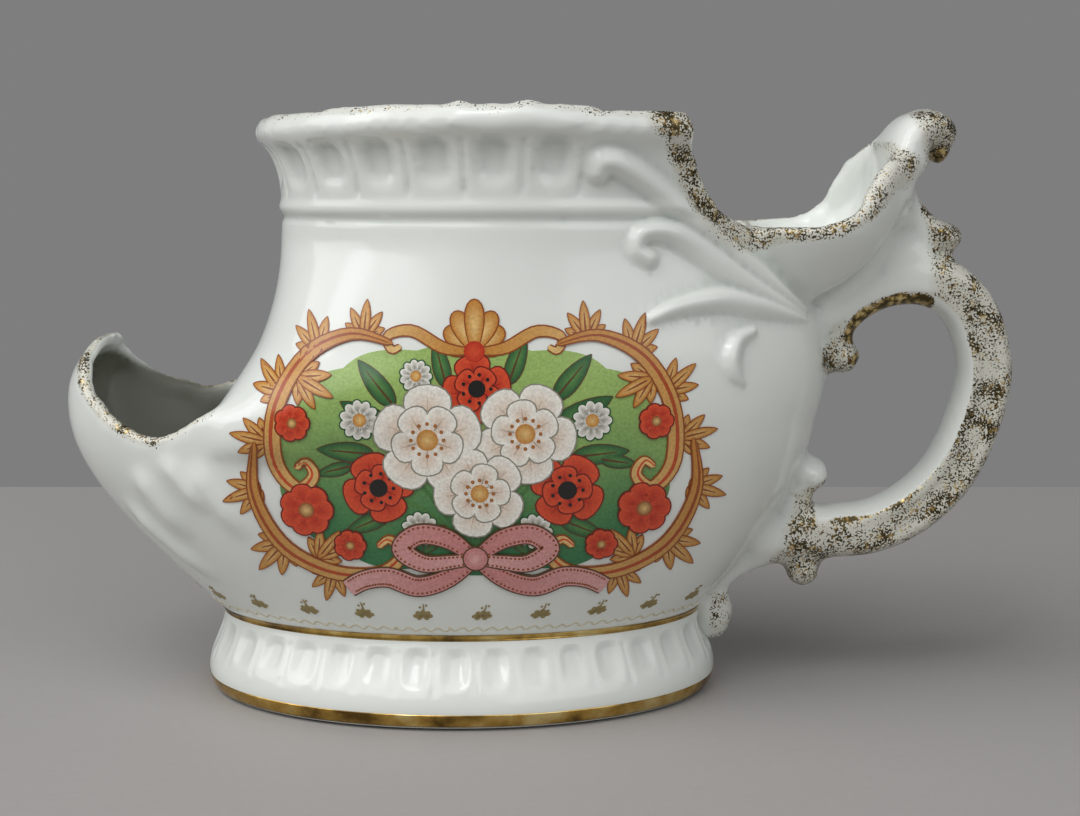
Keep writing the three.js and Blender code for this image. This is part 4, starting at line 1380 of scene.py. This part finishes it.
def bouquet(transfer, inks):
    """Roses, poppies and daisies with their leaves, tied at the bow."""
    tie = on_print(0, -17)
    flowers = (
        (poppy, 0.4, 11.6, 5.4, 0.2), (dog_rose, 8.2, 4.4, 8.2, 1.1), (dog_rose, -7.6, 3.4, 8.8, 0.3),
        (poppy, 15.0, -5.0, 6.0, 1.0), (poppy, -15.6, -4.6, 5.8, 0.4), (dog_rose, 0.8, -5.4, 7.4, 0.7),
    )
    daisies = ((-18.5, 6.6, 3.2), (19.0, 6.4, 3.2), (-9.0, -11.6, 3.0), (9.6, -12.0, 3.0), (-9.4, 13.6, 2.6))
    for x, z, *_ in [spot[1:] for spot in flowers] + list(daisies):
        middle = (PRINT_X + 0.4 * x, PRINT_Z + 0.35 * z - 8, 0.35)
        stem = ((*tie, 0.35), middle, (*on_print(x, z), 0.3))
        transfer.stroke(stem, STEM_LAYER, inks.leaf, inks.leaf_light, rows=16)
    leaves = (
        (-13, 9, 130, 9), (-16.5, 1, 175, 9), (-14, -9, 205, 8), (13, 10, 50, 9), (16, 0.5, 5, 9),
        (14, -10, -25, 8), (-4.5, 12, 105, 7.5), (5.5, 12.5, 70, 8), (-5, -11, 235, 6.5), (5, -11, -55, 6.5),
        (-20, -1, 195, 6), (20.5, 0, -10, 6), (-12, 4, 150, 11), (12.5, 5, 28, 11),
    )
    enamels = (inks.leaf_light, inks.leaf, inks.wood)
    for x, z, turn, length in leaves:
        spot = on_print(x, z)
        angle = math.radians(turn)
        transfer.petal(spot, angle, length, length * 0.42, LEAF_LAYER, *enamels, flare=0.0, point=0.6)
        tip = out_from(spot, angle, 0.8 * length)
        middle = ((spot[0] + tip[0]) / 2, (spot[1] + tip[1]) / 2)
        vein = ((*spot, 0.2), (*middle, 0.16), (*tip, 0.08))
        transfer.stroke(vein, LEAF_LAYER + 2, inks.wood, inks.wood, rows=8)
    for i, (draw, x, z, radius, turn) in enumerate(flowers):
        draw(transfer, inks, on_print(x, z), radius, turn, FLOWER_LAYER + 7 * (i % 3))
    for x, z, radius in daisies:
        daisy(transfer, inks, on_print(x, z), radius)


def bow(transfer, inks):
    """Pink ribbon tied round the stems, with beaded edges."""
    tie = on_print(0, -16.6)
    bands = (
        ((0, 0, 1.0), (4.6, -3.6, 1.5), (9.6, -5.2, 1.7), (14.4, -3.6, 1.7), (18.4, -4.2, 1.6),
         (21.4, -6.0, 1.5)),
        ((0, 0, 0.9), (4.4, 3.4, 1.5), (9.2, 4.2, 1.6), (12.0, 1.6, 1.6), (8.6, -0.9, 1.4), (4.0, -0.6, 1.1),
         (0, 0, 0.8)),
    )
    for side in (-1, 1):
        for level, points in enumerate(bands):
            line = [(tie[0] + side * x, tie[1] + z, half) for x, z, half in points]
            layer = RIBBON_LAYER + 3 * level
            transfer.lined_stroke(line, layer, inks.wood, inks.ribbon_shade, inks.ribbon, rows=48)
            for edge in (-0.74, 0.74):
                for i in range(3, 38):
                    x, z, half = spline(line, i / 40)
                    ax, az, _ = spline(line, i / 40 + 0.02)
                    run = math.hypot(ax - x, az - z)
                    spot = (x - (az - z) / run * half * edge, z + (ax - x) / run * half * edge)
                    transfer.disc(spot, 0.2, layer + 2, inks.russet, inks.russet)
    transfer.disc(tie, 2.2, KNOT_LAYER, inks.wood, inks.wood)
    transfer.disc(tie, 1.95, KNOT_LAYER + 1, inks.ribbon, inks.ribbon_shade)


# Settings


def measure(name, about, size):
    """A length that a user may change, given in millimetres."""
    return FloatProperty(name=name, description=about, default=size * MM, unit="LENGTH")


def swatch(name, about, code):
    """A colour that a user may change, given as sRGB hex."""
    return FloatVectorProperty(name=name, description=about, size=4, subtype="COLOR", default=linear(code))


class ScuttleSizes(PropertyGroup):
    """Sizes of the cast body and its relief."""

    pitch: measure("Mesh pitch", "Spacing of the fused skin", 0.95)
    collar_flutes: IntProperty(name="Collar flutes", description="Flutes round the neck", default=24, min=8)
    foot_flutes: IntProperty(name="Foot flutes", description="Flutes round the foot", default=34, min=8)
    sprigs: IntProperty(name="Sprigs", description="Gold sprigs round the belly", default=24, min=4)
    flute_depth: measure("Flute depth", "Depth of the flutes", 1.25)
    scroll_height: measure("Scroll height", "Height of the shoulder scrolls", 1.8)
    rib_height: measure("Rib height", "Height of the leaf ribs on the spout", 1.2)
    rim_wave: measure("Rim wave", "Sway of the rim's top edge", 0.2)
    gilding: FloatProperty(
        name="Gilding", description="Density of the sponged gold", default=1.0, min=0, max=1, subtype="FACTOR"
    )


class ScuttleInks(PropertyGroup):
    """Enamels of the transfer print."""

    ground_top: swatch("Ground, top", "Yellow green", "9DBA68")
    ground_low: swatch("Ground, bottom", "Deep green", "2F7549")
    gold: swatch("Ochre", "Scrolls", "C07F33")
    gold_light: swatch("Light ochre", "Lit scrolls", "E3BF7C")
    russet: swatch("Russet", "Outlines of the scrolls", "8E4A20")
    red: swatch("Red", "Red petals", "B8301C")
    red_light: swatch("Light red", "Lit red petals", "D9512F")
    wine: swatch("Wine", "Outlines of red petals", "6E1E16")
    white: swatch("White", "White petals", "EFEDE4")
    blush: swatch("Blush", "Hearts of white petals", "DCC3AE")
    shade: swatch("Shade", "Outlines of white petals", "8E8A7C")
    leaf: swatch("Leaf", "Leaves", "2C5A36")
    leaf_light: swatch("Light leaf", "Lit leaves", "5F8F4A")
    wood: swatch("Brown", "Veins and outlines", "5A3F24")
    ribbon: swatch("Ribbon", "Pink ribbon", "DFA9A6")
    ribbon_shade: swatch("Ribbon shade", "Folds of the ribbon", "C9817F")
    ink: swatch("Ink", "Black", "1D1B1A")


class ScuttleColours(PropertyGroup):
    """Colours of the glaze, the gold and the room."""

    glaze: swatch("Glaze", "White body under the glaze", "ECEFEA")
    glaze_pool: swatch("Pooled glaze", "Glaze in the hollows", "C6CEC8")
    # Gold of the sponged specks: the worn tone is partly real wear and partly painted dark reflection, and
    # the bright tone is partly painted glint
    gold_dark: swatch("Worn gold", "Thin or worn gold", "4A4024")
    gold_mid: swatch("Gold", "Fired gold", "8E7440")
    gold_light: swatch("Bright gold", "Burnished gold", "DCC588")
    # Painted shade: the darker colour given to the glaze inside the belly and the spout
    inside_shade: swatch("Stain", "Glaze inside, greyed by hot water", "6A6B60")
    gold_wash: swatch("Gold wash", "Thin gold between the specks", "BDB49A")
    # Gold of the bands: the rubbed tone is partly real wear and partly painted dark reflection
    gold_worn: swatch("Rubbed band", "Rubbed gold of the bands", "6A5026")
    gold_band: swatch("Band", "Gold of the bands", "BA964C")
    sprig: swatch("Sprig", "Stamped gold sprigs", "988758")
    lace: swatch("Lace", "Pale line under the sprigs", "D3CAB0")
    floor: swatch("Floor", "Table under the scuttle", "A8A5A3")
    wall: swatch("Wall", "Background", "7E7E7F")


# Operators


class SCUTTLE_OT_body(Operator):
    """Cast the belly, spout, neck, rest and handle in one glazed body"""

    bl_idname = "scuttle.body"
    bl_label = "Glazed body"

    def execute(self, context):
        sizes = context.scene.scuttle_sizes
        forms = [belly_form(), neck_form(sizes), rest_form(), *crest_form(), *handle_forms()]
        bm = fuse(gather(forms), sizes.pitch / MM)
        fair(bm, bm.verts, EVEN * 3)
        bm.normal_update()
        hollow = [
            e for e in bm.edges
            if len(e.link_faces) == 2 and not e.is_convex and e.calc_face_angle(0) > CREASE_ANGLE
        ]
        creases = {v for e in hollow for v in e.verts}
        for _ in range(2):
            creases |= {e.other_vert(v) for v in creases for e in v.link_edges}
        fair(bm, list(creases), SOFT * 8)

        # The end of the lip melts into the shoulder
        for i in range(8):
            ends = [
                v for v in bm.verts
                if LIP_END - 5 + i < v.co.x < -19 - i
                and abs(v.co.y) > 13 + i
                and 47 + 0.5 * i < v.co.z < 65 - i
            ]
            fair(bm, ends, SOFT * 5)

        crest = [v for v in bm.verts if v.co.x > 63 and v.co.z > 83]
        fair(bm, crest, SOFT * 7)
        rim = [v for v in bm.verts if v.co.x < -18 and v.co.z > RIM_TOP - 6]
        fair(bm, rim, EVEN * 4)
        lip = [v for v in bm.verts if v.co.x < -34 and v.co.z > SEAM - 3]
        fair(bm, lip, EVEN * 4)

        def ornate(co, normal):
            if co.x > 64 or (co.x < -34 and co.z > SEAM - 2):
                return True
            outward = normal.x * (co.x - NECK_X) + 2 * normal.y * co.y > 0
            if co.z > NECK + 2 and outward:
                return True
            return co.x > 20 and co.z > 56 and abs(co.y) > 8 and outward

        refine(bm, ornate)
        emboss(bm, sizes)
        piece = finish_piece(
            "glazed_body",
            bm,
            kept(glazed_porcelain, context.scene.scuttle_colours),
            [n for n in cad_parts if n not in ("foot_ring", "soap_tray")],
        )
        paint(piece, sizes, gilded=True)
        thin(piece, BODY_TRIANGLES)
        return {"FINISHED"}


class SCUTTLE_OT_foot(Operator):
    """Turn the fluted foot ring"""

    bl_idname = "scuttle.foot"
    bl_label = "Foot"

    def execute(self, context):
        sizes = context.scene.scuttle_sizes
        # The foot's flutes are shallower than the collar's
        deep = 0.44 * sizes.flute_depth / MM
        arc = arc_lengths(foot_oval(0.5), [math.pi * i / ARC_STEPS for i in range(ARC_STEPS + 1)])
        pitch = 2 * arc[-1] / sizes.foot_flutes
        flute_low, flute_height = 5.4, WAIST - 7
        steps, columns_a_flute, wall = 56, 14, 3.8

        def outer(angle, z):
            fold = angle if angle <= math.pi else TURN - angle
            across = off_flute(arc[min(round(ARC_STEPS * fold / math.pi), ARC_STEPS)], pitch)
            flute = panel(across, z - flute_low, pitch, flute_height)
            return oval_point(foot_oval(z / WAIST), angle, z, -deep * flute - toe(z))

        def inner(angle, share, z, inset):
            return oval_point(foot_oval(share), angle, z, -inset)

        rings = [partial(outer, z=WAIST * (i / steps)) for i in range(steps + 1)]
        rings += [partial(inner, share=1, z=WAIST + 1.5, inset=inset) for inset in (1.5, wall)]
        rings += [partial(inner, share=z / WAIST, z=z, inset=wall) for z in (12, 9, 6, 3, 1)]
        rings += [partial(inner, share=0, z=z, inset=inset) for z, inset in ((0.2, 3.3), (0, 2.7))]
        rings.append(rings[0])
        bm = loft(sizes.foot_flutes * columns_a_flute, rings)
        piece = finish_piece(
            "foot", bm, kept(glazed_porcelain, context.scene.scuttle_colours), ["foot_ring"]
        )
        paint(piece, sizes)
        return {"FINISHED"}


class SCUTTLE_OT_tray(Operator):
    """Press the pierced soap tray"""

    bl_idname = "scuttle.tray"
    bl_label = "Soap tray"

    def execute(self, context):
        oval = collar_oval(0.07)
        holes, hole_radius, hole_ring = 6, 2.3, 11
        seat = SHOULDER_WALL + 0.3
        under = NECK - 4.5
        bed = under + 2.4

        def ring(z, inset):
            return lambda angle: oval_point(oval, angle, z, -inset)

        def slope(low, high, inset):
            """Side of the dish from its floor up to its edge."""
            made = []
            for i in range(9):
                s = i / 8
                rise = (high - low) * (1 - math.cos(math.pi * s)) / 2
                made.append(ring(low + rise, inset + 9 * (1 - s)))
            return made

        rings = [pole(NECK_X, under), *(ring(under, seat + inset) for inset in (22, 18, 14, 11))]
        rings += slope(under, NECK, seat)
        rings += [ring(NECK, 3.1), ring(NECK + 0.9, 2.95), ring(NECK + 1.3, 3.3)]
        rings += reversed(slope(bed, NECK + 1.3, seat + 0.8))
        rings += [ring(bed, seat + inset) for inset in (12, 15, 18, 22)]
        rings.append(pole(NECK_X, bed))
        # A ring of holes and one in the middle
        drills = []
        for i in range(holes + 1):
            drill = bmesh.new()
            bmesh.ops.create_cone(
                drill, cap_ends=True, segments=32, radius1=hole_radius, radius2=hole_radius, depth=30
            )
            spot = out_from((NECK_X, 0), TURN * i / holes, hole_ring if i < holes else 0)
            bmesh.ops.translate(drill, vec=(*spot, NECK), verts=drill.verts)
            drills.append(drill)
        dish = show("dish", to_mesh("dish", loft(120, rings)))
        cutter = show("drills", to_mesh("drills", gather(drills)))
        cut = dish.modifiers.new("holes", "BOOLEAN")
        cut.operation = "DIFFERENCE"
        cut.solver = "EXACT"
        cut.object = cutter
        pierced = settle(dish)
        discard(cutter)
        # Glaze rounds the edges of the holes
        pierced = fuse(pierced, 0.55)
        fair(pierced, pierced.verts, EVEN * 2)
        piece = finish_piece(
            "tray", pierced, kept(glazed_porcelain, context.scene.scuttle_colours), ["soap_tray"]
        )
        paint(piece, context.scene.scuttle_sizes)
        return {"FINISHED"}


class SCUTTLE_OT_gold_lines(Operator):
    """Paint the gold band on the foot and the gold line above it"""

    bl_idname = "scuttle.gold_lines"
    bl_label = "Gold lines"

    def execute(self, context):
        gold = kept(burnished_gold, context.scene.scuttle_colours)

        def band(low, high, point):
            """A film of gold from low to high, closed inside the glaze."""
            film, sunk = 0.07, -0.2
            levels = [low + (high - low) * i / 8 for i in range(9)]
            rings = [partial(point, z=z, film=film) for z in levels]
            rings += [partial(point, z=z, film=sunk) for z in reversed(levels)]
            rings.append(rings[0])
            return loft(240, rings)

        def foot_point(angle, z, film):
            return oval_point(foot_oval(z / WAIST), angle, z, film - toe(z))

        def waist_point(angle, z, film):
            if z < WAIST:
                return oval_point(foot_oval(z / WAIST), angle, z, film)
            return belly_point(angle, z, film)

        finish_piece("foot_band", band(0.8, 3.1, foot_point), gold)
        finish_piece("waist_line", band(WAIST - 0.4, WAIST + 0.6, waist_point), gold)
        return {"FINISHED"}


class SCUTTLE_OT_sprigs(Operator):
    """Stamp the row of little gold sprigs above the foot"""

    bl_idname = "scuttle.sprigs"
    bl_label = "Sprigs"

    def execute(self, context):
        colours = context.scene.scuttle_colours
        gold, lace = list(colours.sprig), list(colours.lace)
        transfer = Transfer()
        level = WAIST + 4.7
        steps = 2000
        leaves = ((90, 1.3), (38, 1.5), (142, 1.5), (0, 1.7), (180, 1.7), (-35, 1.2), (215, 1.2))
        samples = [belly_point(TURN * i / steps, level, 0) for i in range(steps)]
        samples.append(samples[0])
        runs = [(b - a).length for a, b in zip(samples, samples[1:])]
        spacing = sum(runs) / context.scene.scuttle_sizes.sprigs
        gone = stamped = 0
        for i, run in enumerate(runs):
            gone += run
            if gone < (stamped + 0.5) * spacing:
                continue
            stamped += 1
            # None under the tail of the handle
            if samples[i].x > 0 and abs(samples[i].y) < 7:
                continue
            low, high = (belly_point(TURN * i / steps, level + rise, 0) for rise in (-1, 1))
            up = (high - low).normalized()
            right = (samples[i + 1] - samples[i]).normalized()
            transfer.aim(samples[i] - up.cross(right) * 8, right, up)
            for turn, length in leaves:
                transfer.petal((0, 0), math.radians(turn), length, 0.8, 0, gold, gold)
            transfer.stroke(((0, 0.9, 0.16), (0.12, 1.8, 0.13), (0, 2.7, 0.08)), 2, gold, gold, rows=6)
            for x, z in ((-0.5, 1.9), (0.55, 2.3)):
                transfer.disc((x, z), 0.2, 2, gold, gold)
            wave = [(spacing * (k / 8 - 0.5), -3.1 + 0.4 * (-1) ** k, 0.14) for k in range(9)]
            transfer.stroke(wave, 0, lace, lace, rows=48)
        transfer.finish("sprigs", kept(printed_enamel))
        return {"FINISHED"}


class SCUTTLE_OT_print(Operator):
    """Lay the flower print on the near side"""

    bl_idname = "scuttle.print"
    bl_label = "Flower print"

    def execute(self, context):
        inks = context.scene.scuttle_inks
        transfer = Transfer()
        ground(transfer, inks)
        for side in (-1, 1):
            border(transfer, inks, side)
        palmette(transfer, inks)
        bouquet(transfer, inks)
        bow(transfer, inks)
        transfer.finish("flower_print", kept(printed_enamel))
        return {"FINISHED"}


class SCUTTLE_OT_stage(Operator):
    """Set the table, the lamps and the camera"""

    bl_idname = "scuttle.stage"
    bl_label = "Stage"

    def execute(self, context):
        scene = context.scene
        colours = scene.scuttle_colours
        bm = bmesh.new()
        bmesh.ops.create_grid(bm, x_segments=1, y_segments=1, size=0.5)
        bmesh.ops.scale(bm, vec=(1.6, 0.9, 1), verts=bm.verts)
        bmesh.ops.translate(bm, vec=(0, -0.27, 0), verts=bm.verts)
        mesh = to_mesh("table_top", bm)
        material = bpy.data.materials.new("matt_table_top")
        add = empty_tree(material)
        place = add("ShaderNodeTexCoord").outputs["Object"]
        # Woven cover with a nap of about 1.5 mm
        nap = add("ShaderNodeTexNoise", {"Vector": place, "Scale": 650.0, "Detail": 3.0})
        shade = add("ShaderNodeMapRange", {"Value": nap, "To Min": 0.96, "To Max": 1.04})
        tint = add("ShaderNodeHueSaturation", {"Color": tuple(colours.floor), "Value": shade})
        shader = add("ShaderNodeBsdfPrincipled", {"Base Color": tint, "Roughness": 0.6})
        add("ShaderNodeOutputMaterial", {"Surface": shader})
        mesh.materials.append(material)
        table = show("table_top", mesh)

        # The wall is seen and mirrored as written, and a dimmer air lights the scuttle
        world = bpy.data.worlds.new("plain_room")
        add = empty_tree(world)
        path = add("ShaderNodeLightPath").outputs
        seen = path["Is Camera Ray"]
        for ray in ("Is Glossy Ray", "Is Transmission Ray"):
            seen = add("ShaderNodeMath", {0: seen, 1: path[ray]}, operation="MAXIMUM")
        air = add("ShaderNodeBackground", {"Color": linear("E9ECEC"), "Strength": 0.17})
        wall = add("ShaderNodeBackground", {"Color": tuple(colours.wall), "Strength": 1.0})
        mix = add("ShaderNodeMixShader", {0: seen, 1: air, 2: wall})
        add("ShaderNodeOutputWorld", {"Surface": mix})
        scene.world = world

        # Lamps by place, size in metres and watts, all turned to the middle of the scuttle
        middle = Vector((0, 0, 0.05))
        for name, spot, size, watts in (
            ("key", (-0.45, -0.5, 0.98), 1.15, 8.3),
            ("window", (-0.22, -0.62, 0.98), 0.2, 0.62),
            ("left", (-0.9, -0.2, 0.6), 0.7, 2.8),
            ("right", (0.5, -0.75, 0.7), 0.9, 3.0),
        ):
            lamp = bpy.data.lights.new(name, "AREA")
            lamp.shape = "SQUARE"
            lamp.size = size
            lamp.energy = watts
            holder = show(name, lamp)
            holder.location = spot
            holder.rotation_euler = (middle - Vector(spot)).to_track_quat("-Z", "Y").to_euler()

        # Lens, place and tilt fitted to the photograph
        lens = bpy.data.cameras.new("photo_view")
        lens.sensor_fit = "HORIZONTAL"
        lens.sensor_width = 36
        lens.lens = 58.116
        lens.clip_start = 0.01
        camera = show("photo_view", lens)
        camera.location = (0, -0.31, 0.09818)
        camera.rotation_euler = (math.radians(81.261), 0, 0)
        scene.camera = camera
        scene.view_settings.view_transform = "Standard"
        return {"FINISHED"}


class SCUTTLE_PT_panel(Panel):
    """Steps and settings of the scuttle"""

    bl_idname = "SCUTTLE_PT_panel"
    bl_label = "Shaving scuttle"
    bl_space_type = "VIEW_3D"
    bl_region_type = "UI"
    bl_category = "Scuttle"

    def draw(self, context):
        scene = context.scene
        for group in (scene.scuttle_sizes, scene.scuttle_colours, scene.scuttle_inks):
            box = self.layout.box()
            for name in group.__annotations__:
                box.prop(group, name)
        for step in STEPS:
            self.layout.operator(step.bl_idname)


STEPS = (
    SCUTTLE_OT_body,
    SCUTTLE_OT_foot,
    SCUTTLE_OT_tray,
    SCUTTLE_OT_gold_lines,
    SCUTTLE_OT_sprigs,
    SCUTTLE_OT_print,
    SCUTTLE_OT_stage,
)
CLASSES = (ScuttleSizes, ScuttleColours, ScuttleInks, *STEPS, SCUTTLE_PT_panel)


def register():
    for cls in CLASSES:
        bpy.utils.register_class(cls)
    bpy.types.Scene.scuttle_sizes = PointerProperty(type=ScuttleSizes)
    bpy.types.Scene.scuttle_colours = PointerProperty(type=ScuttleColours)
    bpy.types.Scene.scuttle_inks = PointerProperty(type=ScuttleInks)


def unregister():
    del bpy.types.Scene.scuttle_inks
    del bpy.types.Scene.scuttle_colours
    del bpy.types.Scene.scuttle_sizes
    for cls in reversed(CLASSES):
        bpy.utils.unregister_class(cls)


def main():
    register()
    bpy.ops.scuttle.body()
    bpy.ops.scuttle.foot()
    bpy.ops.scuttle.tray()
    bpy.ops.scuttle.gold_lines()
    bpy.ops.scuttle.sprigs()
    bpy.ops.scuttle.print()
    bpy.ops.scuttle.stage()


if __name__ == "__main__":
    main()
